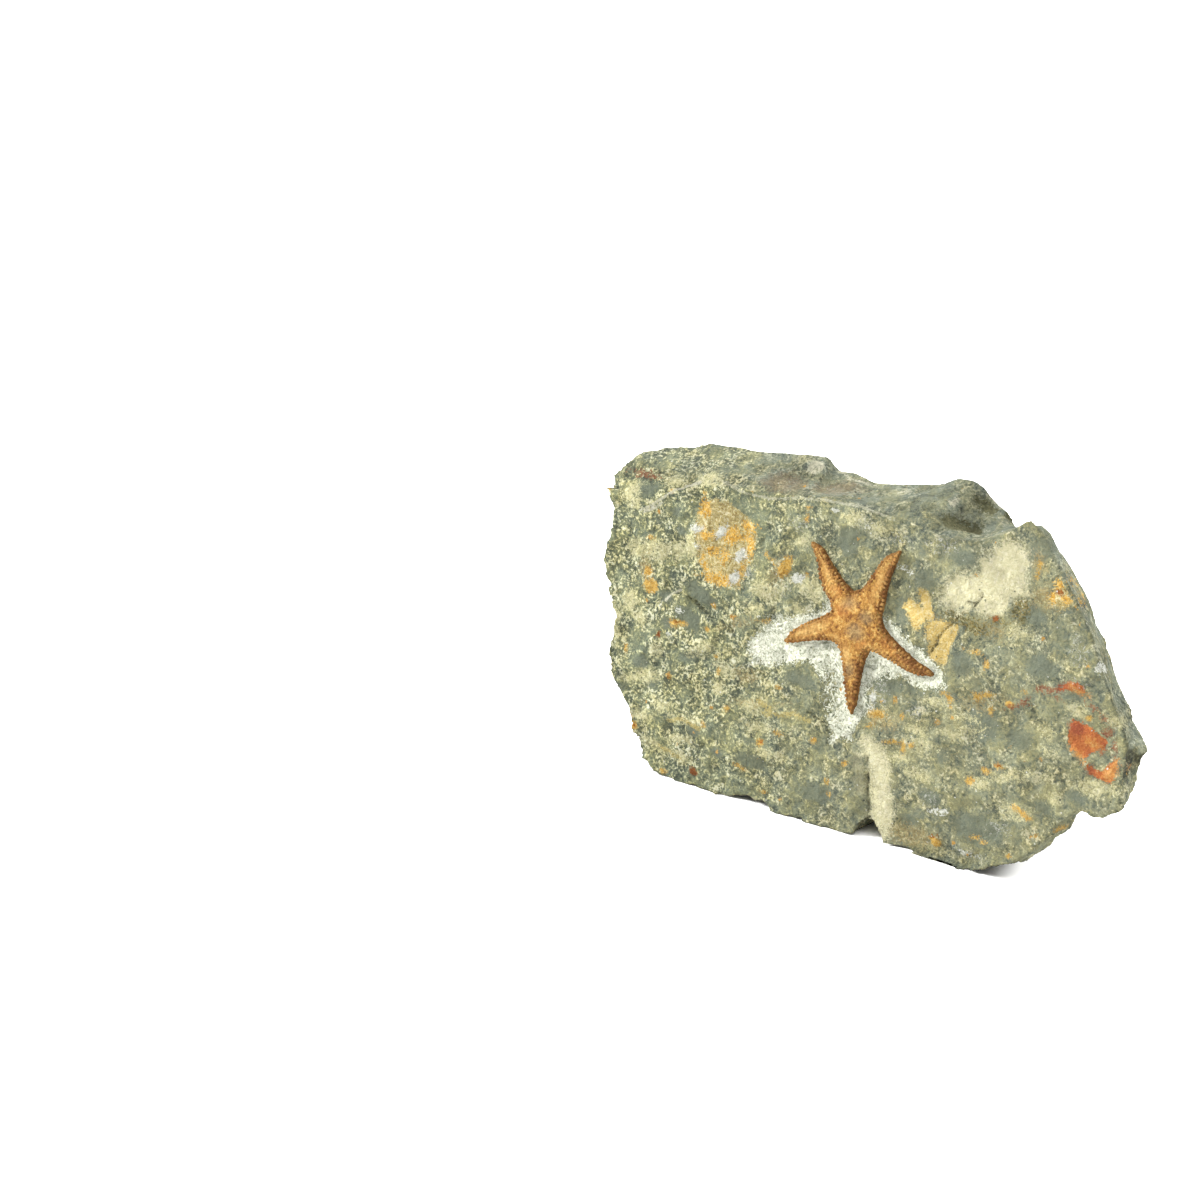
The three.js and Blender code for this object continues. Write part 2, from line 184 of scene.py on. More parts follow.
# %% [markdown]
# ## Stains, shell and scraped ground
# These are only colour and a little relief, so they're outlines rather than pieces. The scraped ground is
# where the stone was cut away with a steel point round the lower arms, which left it white. Clay fills a
# seam and one worn patch, limonite has stained an oval and many small spots, and a piece of shell lies at
# the right.

# %% Outlines of the larger markings
SCRAPED = [
    (9, 3.2), (11.7, 2), (15.2, -0.3), (19, -2.5), (22.7, -4.1), (26.4, -6), (29.1, -7.8), (32, -8.9),
    (31.3, -10.9), (33.6, -12.8), (31.1, -13.9), (26.4, -14.8), (22.3, -14.9), (19, -13.6), (17.8, -12.3),
    (16, -14.3), (12.5, -14.5), (9.3, -16.5), (7.6, -19.4), (7, -22), (8.5, -24.8), (6.9, -28.3),
    (4.6, -32), (3.5, -34.2), (3.6, -37), (-0.4, -36.8), (-3.9, -40.2), (-2.6, -36.7), (-4.6, -33.1),
    (-5.8, -30.2), (-7.9, -28.2), (-7.8, -24.4), (-9.4, -20.9), (-11.7, -18), (-15.2, -16.3),
    (-19.4, -17.9), (-24.5, -19.1), (-27.9, -21.5), (-32.5, -20.8), (-37.8, -23.3), (-33.8, -20),
    (-36.7, -18.4), (-37.4, -16), (-35.1, -13.2), (-31.9, -9.9), (-29.9, -7.6), (-34.3, -6.4),
    (-28.1, -4.8), (-22.9, -4.5), (-18.8, -2.6), (-14.1, 0), (-11.2, 2.5), (-10.4, 4.9), (-9.6, 6.3),
    (-7.5, 4.6), (-1.2, 1),
]
OCHRE_OVAL = [
    (-62, 22.6), (-60, 24.9), (-56, 26.6), (-49.8, 26.2), (-44.9, 24), (-40.7, 21.6), (-38.6, 17.6),
    (-38.7, 13.1), (-40.5, 10.2), (-41.4, 5.6), (-42.9, 0.8), (-45.9, 0.1), (-50.6, 0.4), (-54.6, 1.5),
    (-57.4, 4.2), (-59.7, 6.9), (-59.8, 10.1), (-61.4, 13), (-61.6, 16.9), (-61.3, 20.2),
]
RIGHT_OCHRE = [
    (64.5, 25.9), (67.4, 23.6), (69.8, 20.1), (68.3, 18), (64.6, 17.5), (61.2, 18.8), (61.5, 21.2),
]
PALE_CLAY = [
    (39, 26.5), (41.9, 30.3), (45.4, 33.1), (49.9, 33.4), (53.1, 31.1), (54.1, 27.2), (54, 23.7),
    (54.7, 19.8), (50.6, 17.1), (48.6, 13.7), (45.1, 11.2), (41.2, 10.9), (38.2, 12.7), (37.1, 11.2),
    (33.3, 9.8), (29.8, 10.8), (26.8, 12.6), (28.6, 18.4), (30.9, 20.7), (35.5, 21.3), (38.2, 22.8),
]
SEAM_RIGHT = [
    (6.5, -34.7), (10.7, -34.3), (14.3, -34.6), (16.4, -37.2), (18.5, -41.6), (19.6, -46.4),
    (21.4, -50.9), (22, -54.5), (21, -59.8), (19.5, -64), (15.4, -64), (13.6, -60), (12.4, -57.1),
    (12.2, -50.9), (11.4, -46), (10, -41.4), (8, -37.5),
]
SEAM_LEFT = [
    (4.4, -39.3), (8.6, -39.6), (9.7, -44), (10.9, -49.9), (11.3, -53.6), (8.4, -52.5), (6.2, -47.6),
]
YELLOW_FLAKES = [
    [
        (19.7, 13.6), (21.4, 14.1), (22.8, 13.3), (24, 11.1), (25.5, 8.5), (26.7, 6.2), (26, 5.4),
        (23.8, 5.2), (22.7, 3.7), (21.2, 1.8), (19.4, 2.4), (18.3, 3.7), (17, 5.4), (15.4, 7.2),
        (15.6, 9), (17, 10.4), (18.2, 9.8), (19.7, 8.8), (21.1, 8.4), (20.8, 10.6), (19.8, 12.4),
    ],
    [
        (26, 5.6), (28.4, 6), (30.8, 6.2), (32.6, 6.1), (34.8, 5.5), (34.5, 3.2), (33.5, 0.5),
        (32.9, -2.2), (32.6, -4.9), (31.9, -6.9), (29.3, -6.6), (27.5, -6.1), (25.7, -5.5), (25.3, -3.7),
        (25.3, -1.4), (24.6, 0.3), (23.9, 2.4), (24.4, 4.1),
    ],
]
SHELL = [
    [
        (75.3, -12), (77.2, -12.3), (79.9, -13.1), (82.3, -14.3), (84.5, -15.4), (86.3, -16.3),
        (85.5, -18.3), (84.2, -19), (82.9, -20), (81.1, -21.2), (81, -22.9), (82.1, -24.4), (84.4, -24.8),
        (86.5, -24.9), (87.3, -23.5), (88, -22.1), (88.9, -20.9), (89.8, -20.5), (90.5, -21),
        (90.6, -22.6), (90.3, -24.5), (89.9, -27.4), (88.6, -27.9), (87, -27.3), (84.8, -26.8),
        (82.5, -26.4), (81.3, -24.9), (80.3, -23.1), (77.9, -21.3), (76, -21.1), (75, -19.3),
        (74.4, -17.3), (74.7, -15.5), (75, -13.7),
    ],
    [
        (69.7, -4.7), (71.1, -2.9), (73.2, -1.9), (75.2, -1.6), (76.6, -2.5), (77.3, -4.1), (76.3, -4.8),
        (74.7, -4), (71.8, -4.4), (70, -5),
    ],
]
PROUD_FLAKE = [
    (-71, -10.5), (-67.6, -6.2), (-64.7, -4.3), (-60.6, -6.6), (-56, -9), (-50.5, -11), (-48.5, -16),
    (-52, -22), (-60, -25), (-70, -20),
]
print("corners in the scraped ground:", len(SCRAPED), "in the ochre oval:", len(OCHRE_OVAL))

# %% [markdown]
# Smaller marks are ellipses, each with a place, two radii and a turn in degrees. Some are stains of their
# own. Lime and slate patches only make the stone's own pattern paler or darker, so that their edges
# dissolve into it.

# %% Ellipses on the face: across, up, two radii, turn
LIME = [
    (-84, 5, 4, 3.2), (-76, 6.5, 6, 3), (-67, 8, 5, 2.6, 10), (-62.5, 10, 2.5, 3.5), (-89, -21, 1.2, 4.5),
    (-81, -37.2, 3.5, 1.3, 12), (-75, -35.3, 4.2, 1.8, 10), (-71.5, -33.6, 2, 1), (-57, -45.3, 5, 0.9, 6),
    (-71, -56, 5, 1.2, -8), (-60, -57.5, 6, 1.3), (-87, 22, 3, 4.5), (-44, -26, 4, 1.6, -10),
    (-72, -26, 1.6, 2.4), (-54, -21.5, 4, 1.6, 32), (-46, -32, 2, 2), (-33, -35, 3, 2),
    (-29, -41, 5, 1.2, 4), (-58, -52, 4, 1.2), (-66, -43, 3, 1.6), (-25, -48, 4, 1.3), (-85, -12, 3, 3),
    (-80, -17, 3, 2), (-75, -48, 4, 1.5, 10), (-17, 6, 5, 3, -10), (-28.5, 2.5, 1.6, 4.5, -35),
    (-5, 30.5, 4, 2), (3.5, 28.5, 3, 2), (-22, 20, 3, 2, 30), (-34, 2, 4, 2.6), (-36, -4, 3, 1.6),
    (-20, -1.5, 4, 1.4), (-60, 32, 5, 1.8), (-74, 29, 3, 1.2, 10), (58, -34, 5, 1.5, 18),
    (66, -31.5, 3.4, 1, 5), (73.2, -36, 1.7, 2.4), (76, -9.5, 3.2, 1.9), (68.5, -17.5, 2, 1.6),
    (43, -24, 4, 1.4, 20), (38, -26.5, 4, 1.2), (30, -41, 5, 1.5, -5), (26, -28, 2.4, 1.4),
    (28, -31.5, 5, 1.2), (41, -20, 3.4, 1, 12), (31, -18, 4, 1.2, 5), (89.5, -29.5, 2.4, 1.2),
    (50, -38, 3.4, 1.6), (61, -44, 4.4, 2), (69, -23, 2.4, 1, -10), (88, -10, 2.2, 1.2), (28, -34, 2, 1),
    (53, 8, 4, 2), (85, -30, 6, 2.4, 10), (22, -38, 3, 2), (15, -27, 4, 1.6, 10), (33, -62.5, 5, 1),
]
SLATE = [
    (-77, -31, 2.8, 2.2), (-53, -48, 2.7, 2.1), (-70, 19.5, 1.7, 1.4), (-66.5, 14.3, 2.2, 1.5),
    (-57, -4, 7, 2.4, -20), (-57.5, -24.5, 4.5, 1.5, 22), (-71.5, -37.3, 1.6, 1.4),
    (-43, -52.5, 2.8, 1.7), (-86, -41, 3, 1.2, -15), (-61, -13, 5.5, 3, -25), (22, 17, 4.4, 2.6),
    (14, -17.5, 5, 2.6, 10), (24, -17, 4, 1.5), (17, -29.5, 2.2, 1.9), (36, -33, 2.2, 2.4),
    (47, -21, 6, 4.6), (75, -5.9, 3.2, 0.9), (50, -52.5, 9, 4.6), (34, -47, 3.4, 2.6),
    (15.5, 6, 2.4, 4.4, 15), (38, -5, 3.4, 3.4), (-17, -22.5, 6, 2), (-6, 23, 4, 4.5), (58, 14, 4, 3),
    (63, 0, 5, 3.4), (80, -34, 3.4, 1.8), (57, 33, 3.4, 3.4), (33, 26, 4.6, 2.4), (-83, 24, 5, 2, 35),
    (-70, -8, 3, 2), (-30, -52, 6, 2.6), (-5, -56, 6, 3), (-68, -16, 3, 2), (60, -22, 4, 3),
    (70, -40, 3, 2), (27, -56, 3, 2),
]
GOLD_IN_OVAL = [
    (-59.5, 23, 1.9, 2.6, 30), (-57.3, 15, 2.4, 1.4), (-48, 16.5, 3.2, 2.4, 30),
    (-41.2, 15, 1.7, 4.4, 12), (-42, 20.5, 2, 1), (-51, 2, 5.4, 1.7), (-56.8, 5, 1.2, 2.8, 30),
    (-54, 10.5, 2, 1.2, 20), (-43, 6.5, 0.9, 3), (-50, 9, 1.4, 2), (64.6, 24, 1.3, 1.8),
    (67.4, 20.6, 1.8, 1, -20), (62.6, 20.4, 1.2, 1.2),
]
OCHRE_SPOTS = [
    (-76.6, -5.6, 3, 2.6, 25), (-78.6, -1.2, 2, 1.5), (-79, 9.8, 1.3, 0.6), (-27, 10.5, 1.7, 3.4, -20),
    (-32.6, 12.6, 1.8, 0.4, -35), (-65.2, -15.4, 2.2, 1.1), (-62, -15, 0.8, 0.6),
    (-52.6, -14.6, 0.8, 0.5), (-48.6, -22.8, 0.8, 0.6), (-46.8, -26.9, 0.7, 0.9),
    (-84.4, -28.2, 0.7, 1.3, 30), (-65.5, -32.8, 0.9, 0.9), (-41.5, -37.9, 0.9, 0.7),
    (-51.5, -6.9, 1, 0.8), (-43.5, -8.5, 0.9, 0.8), (-79.4, -49.6, 1.1, 0.7, -30), (-77, -52.3, 1.3, 1.3),
    (-63, -64.2, 1.1, 0.6), (-97.2, 21, 1, 1.4), (-21.6, 30.2, 0.9, 0.5), (-21.4, 27, 0.6, 1),
    (-19, 9.9, 1.2, 0.6), (-32, -7.5, 1.6, 0.7), (36.2, -60, 1.8, 1.8), (49.8, -54.8, 1.2, 0.8),
    (52.8, -55.2, 0.7, 0.5), (63.2, -43, 2.2, 1, -20), (66, -44.4, 0.9, 0.8), (55.3, -31.2, 1.2, 0.7),
    (51, -33.8, 1.5, 0.9), (46, -38, 1.1, 1.2), (44, -13.4, 1.3, 1.1), (47.2, -12.2, 1.9, 0.7, 10),
    (35.2, -16.4, 0.7, 1.5, 30), (33, -14.7, 0.7, 0.4), (22.3, -34.4, 1, 1.9), (45.8, -3.6, 0.8, 1.3),
    (41, -0.4, 2, 0.5), (54.8, -13, 1.3, 0.8), (57.5, 29, 1, 0.9), (57, 26, 0.7, 1.4),
    (49, -16.5, 0.7, 0.9), (58.8, -8, 0.8, 0.7), (69, -49, 0.9, 0.7), (75, -45.6, 0.9, 0.8),
    (32, -24, 1, 0.8), (-27.5, -45.5, 1, 1.2), (-23.7, -26.8, 0.9, 0.6), (-34, -55, 1.3, 0.5, -20),
    (-24.2, -60.7, 1, 0.6), (-2, -51.4, 0.7, 0.8), (-1.2, -55.3, 0.8, 0.8), (3, -44.4, 0.8, 0.7),
    (-8.4, -40, 1.1, 0.9), (-21, -40.8, 1.6, 0.6), (17, -20.8, 0.8, 0.9), (20.5, -24.8, 0.7, 1),
    (12, -26.5, 3, 1.2, 10), (-48.7, -44.8, 0.6, 0.8), (61.5, -57, 0.8, 0.8), (80, -10.8, 0.8, 0.7),
    (-60.5, 28, 0.8, 0.5), (-73.4, 26, 0.7, 0.5), (25, -33, 0.8, 0.7), (10, -30.5, 1.4, 0.6, 20),
    (18, -33.6, 2, 0.6, 15),
]
RUSTY_CORES = [
    (-65, -15.3, 0.7, 0.5), (-71.6, -20.8, 0.7, 0.9), (-77, -52.3, 0.5, 0.5),
    (-51.4, -61.2, 1.8, 1.3, -40), (36, -58.5, 1.2, 0.6), (65, 22.4, 1.4, 1), (46, 10.5, 1, 0.9),
    (-43.5, -8.6, 0.5, 0.5), (55.2, -31, 0.8, 0.4), (-65.4, -32.6, 0.4, 0.5), (32, -24, 0.7, 0.5),
    (17, -20.8, 0.4, 0.5), (-27.3, -45, 0.6, 0.5),
]
RED_STREAKS = [
    (-86, 29, 4.8, 0.9), (-88.6, 27.8, 1, 0.7), (67.4, -6.4, 2.2, 0.7, -25), (64.2, -6, 1.5, 0.5, 20),
    (68.6, -5, 1.8, 0.4, 30), (81, -8, 2.6, 0.6, -25), (85.8, -13.8, 1.6, 1.6), (88.7, -17.5, 0.7, 1.7),
    (59, -11.2, 1.6, 0.7, 40), (56.5, -13.4, 1.6, 0.4, 20), (83.6, -9.6, 1, 0.4, -30),
    (84.6, -19.2, 0.8, 1),
]
WHITE_CHIPS = [
    (-61.2, 16.3, 2, 1.1, 10), (-51.9, 17.2, 2.4, 1.1, 50), (-44, 11, 2.7, 1.6, 55),
    (-45.2, 3.3, 2.4, 1.4, 65), (-59.8, 11, 1, 0.6), (-22.2, 8.3, 1.8, 1.5), (-64.2, -11, 1.4, 0.8, -20),
    (36.9, -50.4, 2.4, 0.7, 10), (80.4, 3.7, 0.8, 1.1), (9.3, -22.5, 1, 2), (-72, -11, 0.8, 0.6),
    (14.6, 18.4, 2, 0.4, -25), (46.4, -60.6, 2.6, 0.6), (-67.3, -19.3, 0.6, 0.6), (-12, 31.5, 0.8, 0.5),
    (38.5, -49.4, 0.8, 0.6),
]
WHITE_DUST = [
    (74, 7, 2.6, 4, 35), (24, -22.4, 3.6, 2, -10), (26, 28, 4.6, 2.4), (-24, 25, 3, 2.4),
    (33, -48.5, 3.4, 3), (11, -21, 3, 5, -20), (47, -60.5, 4, 1.2), (-28, -8, 4, 1.6, 12), (-10, 4, 3, 5),
    (57, -50, 3, 2), (12, 27, 3, 1.6), (-27, 3, 1.4, 4.4, -35), (-1, 29, 3, 2), (-40, 6, 2, 4, -20),
    (76, -2, 2, 1),
]
TAN_GROUND = [
    (27, -60.5, 9, 3), (44, 7.4, 5, 2.2, -8), (14, -28, 5, 2.4, 10), (27, 3.6, 3, 3), (-80, 0, 3, 4),
    (-30, -33.4, 4, 0.7, 10), (-29, 9, 2.6, 4.6, -20), (62, 20, 5, 3.4), (-41, -10, 4, 1, 20),
    (46, -14.6, 5, 1.6, 10), (-36, -26, 3, 2), (57, 29, 2.4, 3),
]
OLIVE_HOLES = [
    (37.5, 7.4, 7.4, 2.2, -10), (31.4, 8.8, 2.4, 1.2, 20), (53.4, 14.5, 3, 3.4, -20), (47, 9.6, 3, 1.2),
]
THIN_SCRAPING = [(-7, -24.5, 5, 8.6, 15), (-30, -6.4, 5, 2, 10), (9, -24, 2, 5), (-15, 0, 6, 1.6, 20)]
SHELL_GLOW = [
    (78.2, -21.6, 3, 0.9, -40), (88.8, -24.8, 1.4, 2.4, -30), (89.8, -22.2, 1, 1.6),
    (82, -17.6, 2.2, 1, -25), (75.2, -4, 2, 0.7, -20),
]
SHELL_RED = [
    (76.9, -14.6, 2.4, 2, -20), (85, -18, 1, 1.4), (82.6, -25.2, 1.6, 1, -30), (72, -3.4, 2, 0.8, 20),
]
print("lime patches:", len(LIME), "slate patches:", len(SLATE), "ochre spots:", len(OCHRE_SPOTS))

# %% Lines on the face
# The first and third dark lines are painted shadow under the edge of a flake and of a low ledge; the second
# and fourth are cracks. Each is also cut a little into the stone.
CRACK_AND_SHADOW_LINES = [
    [(-65.2, -4.4), (-60.6, -6.6), (-56, -9), (-50.5, -11)],
    [(10.4, -40.6), (11.1, -47.4), (11.7, -53.5), (12.3, -59)],
    [(-12.4, -31.6), (-9.4, -32.8), (-6.4, -33.8), (-3.8, -36.2)],
    [
        (32.9, 6.5), (31.7, 5.1), (30.2, 3.8), (29.2, 2.3), (28.2, 0.2), (27.8, -1.5), (26.6, -3),
        (25.9, -5.4),
    ],
    [(2.8, -35.4), (4.8, -37)],
    [(25.2, 36), (28, 32.6)],
    [(36, 13.4), (38.6, 13.4)],
    [(40.4, 16.4), (38.6, 12.4)],
]
# Pale lines: painted highlight along the top edges of ledges and of the flake, and, the last, the white rim
# of the scraped ground. They are also raised a little.
PALE_EDGE_HIGHLIGHT_LINES = [
    [(-84, 17.4), (-80, 20), (-75.5, 23.5), (-72, 26.5), (-66, 29), (-63, 30.2)],
    [(-82.5, 17.2), (-78.5, 19.6), (-76, 21.6)],
    [(-70, -9), (-67.6, -6.2), (-65, -4.6)],
    [(-36, -22.6), (-31, -20.6), (-27, -19.4)],
]
# Painted highlight: a thin pale line along the crest where the face turns into the shoulder.
CREST_HIGHLIGHT_LINE = [
    (-53.9, 32.3), (-44.6, 30.3), (-33.9, 30.7), (-24.9, 32.7), (-15.5, 33.9), (-3.5, 34.3), (2.2, 33.6),
    (8.6, 32.4),
]
GOLDEN_LINES = [
    [(-28, -36), (-22, -35.3), (-17, -33.5), (-11, -34.3)],
    [(-31, -32.6), (-25, -34)],
    [(-63, -47.2), (-57.5, -45), (-53.5, -46), (-49.5, -46.4)],
    [(-66, -56), (-57, -58.2)],
]
print("lines:", len(CRACK_AND_SHADOW_LINES) + len(PALE_EDGE_HIGHLIGHT_LINES) + len(GOLDEN_LINES))

# %% [markdown]
# ## The block's mesh
# The block is a solid of a few thousand flat triangles. Broken stone has no flat triangles, so a copy of
# the solid is divided again into even squares, small enough that two or three of them are one grain in the
# render, and every point of it is then moved in or out. A voxel remesh gives the squares: it leaves no
# trace of how the solid was built, which a subdivision would. It would tear an edge thinner than a square,
# such as the toe to the right of the notch, so the toe is pressed down on the ground first. A strip along
# its front edge ends up with no thickness there, which shows black from above.

# %% A closed copy of a node
def joined_copy(node):
    """A copy of a node's surface with its loose triangles joined at their corners."""
    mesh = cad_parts[node].data.copy()
    joined = bmesh.new()
    joined.from_mesh(mesh)
    bmesh.ops.remove_doubles(joined, verts=joined.verts, dist=1e-6)
    joined.to_mesh(mesh)
    joined.free()
    return mesh


def points_of(mesh, kind="co"):
    values = np.empty(len(mesh.vertices) * 3)
    mesh.vertices.foreach_get(kind, values)
    return values.reshape(-1, 3)


plain_block = joined_copy("rock")
corners = points_of(plain_block) / MM
x, y, z = corners.T
TOE_DROP = 3.3  # mm, at most
toe = smooth(x, 13, 24) * smooth(x, 76, 62) * (1 - 0.5 * smooth(x, 46, 60))
toe *= smooth(z, 12, 4) * smooth(y, -8, -14)
corners[:, 2] = np.maximum(z - TOE_DROP * toe, 0)
plain_block.vertices.foreach_set("co", (corners * MM).ravel())
print("toe pressed down by up to", round(TOE_DROP * float(toe.max()), 1), "mm")

# %% Even squares
STONE_SQUARE, FOSSIL_SQUARE = 0.81, 0.25  # mm


def evenly_divided(mesh, name, step):
    """A piece with that closed surface, divided into squares of that many millimetres."""
    piece = bpy.data.objects.new(name, mesh)
    scene.collection.objects.link(piece)
    remesh = piece.modifiers.new("even squares", "REMESH")
    remesh.voxel_size = step * MM
    remesh.use_smooth_shade = True
    evaluated = piece.evaluated_get(bpy.context.evaluated_depsgraph_get())
    fine = bpy.data.meshes.new_from_object(evaluated)
    piece.modifiers.clear()
    piece.data = fine
    fine.materials.clear()
    return piece


block = evenly_divided(plain_block, "block", STONE_SQUARE)
block_points = points_of(block.data) / MM
block_normals = points_of(block.data, "normal")
on_face = to_face(block_points)
across_up = on_face[:, :2]
print("block:", len(block.data.polygons), "squares")

# %% [markdown]
# ## Noise in millimetres
# Three kinds of noise make the stone: plain noise for swells, fractal noise for grit, and flakes, which are
# cells at different heights with a worn step between them, as a split surface has.

# %% Noise over the points
def swells(points, wavelength, octaves=1, stretch=(1, 1, 1), seed=0.0):
    places = (points / (np.array(stretch) * wavelength) + seed).tolist()
    return np.array([noise.fractal(place, 0.9, 2.1, octaves) for place in places])


def flakes(points, size, edge=0.25, stretch=(1, 1, 1), seed=0.0):
    """Random heights from 0 to 1, level within each cell and sloping over its border."""
    heights = []
    for place in (points / (np.array(stretch) * size) + seed).tolist():
        (near, far, *_), (own, other, *_) = noise.voronoi(place)
        own, other = (math.sin(c.dot(Vector((127.1, 311.7, 74.7)))) * 437.58 % 1 for c in (own, other))
        share = min((far - near) / edge, 1)
        heights.append((own + other) / 2 + (own - other) / 2 * share * share * (3 - 2 * share))
    return np.array(heights)


print("noise ready")

# %% [markdown]
# ## Where the block is what
# The split face, the shoulder above it and the broken sides and back are rough in different ways. The
# direction that a point faces tells them apart. The marks on the shoulder are placed from above, as it is
# seen there.

# %% Regions
facing = block_normals @ face_out
out = on_face[:, 2]
front = smooth(facing, 0.5, 0.85) * smooth(out, -7, -3)
height = block_points[:, 2]
shoulder = (1 - front) * smooth(block_normals[:, 2], 0.15, 0.5) * smooth(block_points[:, 1], 22, 12)
clear_of_ground = np.maximum(smooth(height, 0.3, 2.5), smooth(block_normals[:, 2], -0.6, -0.2))
from_above = block_points[:, :2]
print("share of the points on the face", round(float((front > 0.5).mean()), 2))

# %% Marks on the shoulder
BROWN_HOLLOWS = [(-33, -3.5, 7, 5), (-15.6, -0.7, 7.4, 4.6, 30)]
OLIVE_PIT = [
    (23.5, -5.4), (25.2, -1.8), (29, 1.4), (33.8, 3), (34.4, 1), (30.6, -1.6), (28.6, -5), (26.4, -6),
]
# Painted shade: dark ellipses to the right of the hump, coloured with the olive pit.
PIT_SHADE = [(33, 6.4, 3.4, 1.6, 10), (39, 8.6, 1.4, 1.4)]
# Pale marks on the shoulder. The first line is painted highlight along a ridge's crest; with it go short pale
# marks, a pale lump and the hump's pale edge.
SHOULDER_HIGHLIGHT_LINES = [
    [(-20.7, 9.2), (-14.5, 5.4), (-9.8, 7.1), (-6.5, 7.7)],
    [(5, 2.7), (6.9, 4.3)],
    [(23.7, 0.3), (25.3, 2.3)],
]
PALE_LUMP = [(-26.5, 4.5, 3.2, 2.6)]
HUMP_EDGE = np.array([(31.6, 8.6, 104.6), (34.4, 8.8, 102.8), (36.3, 8.9, 101.4)])
print("marks on the shoulder:", len(BROWN_HOLLOWS) + len(PIT_SHADE) + len(SHOULDER_HIGHLIGHT_LINES))

# %% Distances on the block
def outlines_gap(points, outlines):
    return np.min([distance_to_outline(points, outline) for outline in outlines], axis=0)


def lines_gap(points, lines):
    return np.min([distance_to_line(points, line, closed=False) for line in lines], axis=0)


across = across_up[:, 0]
in_notch = np.abs(across - 14) < 9
BEHIND_FACE, BEHIND_NOTCH = -9, -30  # mm out of the face, past which a mark of the face is left out
behind = np.where(out < np.where(in_notch, BEHIND_NOTCH, BEHIND_FACE), 50.0, 0.0)
star_gap = outlines_gap(across_up, [star_outline]) + behind
MARKS = {  # the shapes of each kind of mark, and how its distance is measured
    "scraped": ([SCRAPED], outlines_gap), "thin": (THIN_SCRAPING, distance_to_spots),
    "ochre": ([OCHRE_OVAL, RIGHT_OCHRE], outlines_gap), "gold": (GOLD_IN_OVAL, distance_to_spots),
    "ochre_spots": (OCHRE_SPOTS, distance_to_spots), "rusty": (RUSTY_CORES, distance_to_spots),
    "red": (RED_STREAKS, distance_to_spots), "seam_veil": ([SEAM_LEFT], outlines_gap),
    "clay": ([PALE_CLAY, SEAM_RIGHT], outlines_gap), "yellow": (YELLOW_FLAKES, outlines_gap),
    "shell": (SHELL, outlines_gap), "shell_glow": (SHELL_GLOW, distance_to_spots),
    "shell_red": (SHELL_RED, distance_to_spots), "white": (WHITE_CHIPS, distance_to_spots),
    "dust": (WHITE_DUST, distance_to_spots), "tan": (TAN_GROUND, distance_to_spots),
    "olive": (OLIVE_HOLES, distance_to_spots), "crack_and_shadow_line": (CRACK_AND_SHADOW_LINES, lines_gap),
    "pale_edge_highlight": (PALE_EDGE_HIGHLIGHT_LINES, lines_gap), "crest_highlight": ([CREST_HIGHLIGHT_LINE], lines_gap),
    "golden_line": (GOLDEN_LINES, lines_gap), "lime": (LIME, distance_to_spots),
    "slate": (SLATE, distance_to_spots),
}
gaps = {name: measured(across_up, shapes) + behind for name, (shapes, measured) in MARKS.items()}
off_shoulder = 20 * (1 - smooth(shoulder, 0.1, 0.4))
gaps["brown_hollow"] = distance_to_spots(from_above, BROWN_HOLLOWS) + off_shoulder
# The pit's mask also holds the painted shade beside the hump, which takes the pit's dark olive and is dug a
# little too.
pit_and_shade = np.minimum(distance_to_outline(from_above, OLIVE_PIT), distance_to_spots(from_above, PIT_SHADE))
gaps["olive_pit_and_shade"] = pit_and_shade + off_shoulder
lights = np.minimum(lines_gap(from_above, SHOULDER_HIGHLIGHT_LINES), distance_to_spots(from_above, PALE_LUMP) + 0.8)
hump = distance_to_line(block_points, HUMP_EDGE, closed=False)
gaps["shoulder_pale_and_highlight"] = np.minimum(lights + off_shoulder, hump)
print(len(gaps), "kinds of mark")

# %% [markdown]
# ## Relief
# Heights are in millimetres, out of the stone. The face is flaky and gritty, the shoulder is worn smoother,
# and the sides and back are coarsely broken across the beds, which lie parallel to the split face and show
# there as thin ledges. Near the starfish the ground is left level, and where it was scraped it lies lower,
# so that the arms stand proud of it. The peak and the notch in the foot keep their place, because the whole
# outline hangs on them.

# %% Kinds of roughness
grit = swells(block_points, 1.9, octaves=3, seed=3.1)
chips = flakes(block_points + 0.6 * grit[:, None], 3.1, seed=2.9) - 0.5
slabs = flakes(block_points + 1.2 * grit[:, None], 8.5, seed=5.3) - 0.5
beds = swells(on_face, 1.7, octaves=3, stretch=(12, 12, 1), seed=4.7)
crisper = 1.45 - 0.45 * smooth(block_points[:, 0], -60, 20)
rough_face = crisper * (
    0.5 * swells(block_points, 9, octaves=4, seed=1.7) + 0.8 * slabs + 0.55 * chips + 0.22 * grit
)
rough_shoulder = (
    0.5 * swells(block_points, 13, octaves=3, stretch=(2, 1, 1), seed=8.2)
    + 0.6 * (flakes(block_points + grit[:, None], 11, edge=0.5, stretch=(1.8, 1, 1), seed=4.4) - 0.5)
    + 0.3 * beds
    + 0.1 * grit
)
near_rim = 1 - 0.5 * smooth(out, -10, -1)
rough_sides = (
    near_rim * 0.8 * swells(block_points, 12, octaves=4, seed=6.6)
    + near_rim * 1.3 * (flakes(block_points + grit[:, None], 9, edge=0.3, seed=9.1) - 0.5)
    + 0.6 * (flakes(block_points + 0.5 * grit[:, None], 4, seed=7.7) - 0.5)
    + 0.6 * beds
    + 0.17 * grit
)
print("roughness in mm:", [round(float(r.std()), 2) for r in (rough_face, rough_shoulder, rough_sides)])

# %% Moving the points
PEAK, NOTCH = np.array([55.0, -8.1, 105.8]), np.array([16.2, -24.0, 3.0])


def away_from(place, near, far):
    return smooth(np.linalg.norm(block_points - place, axis=1), near, far)


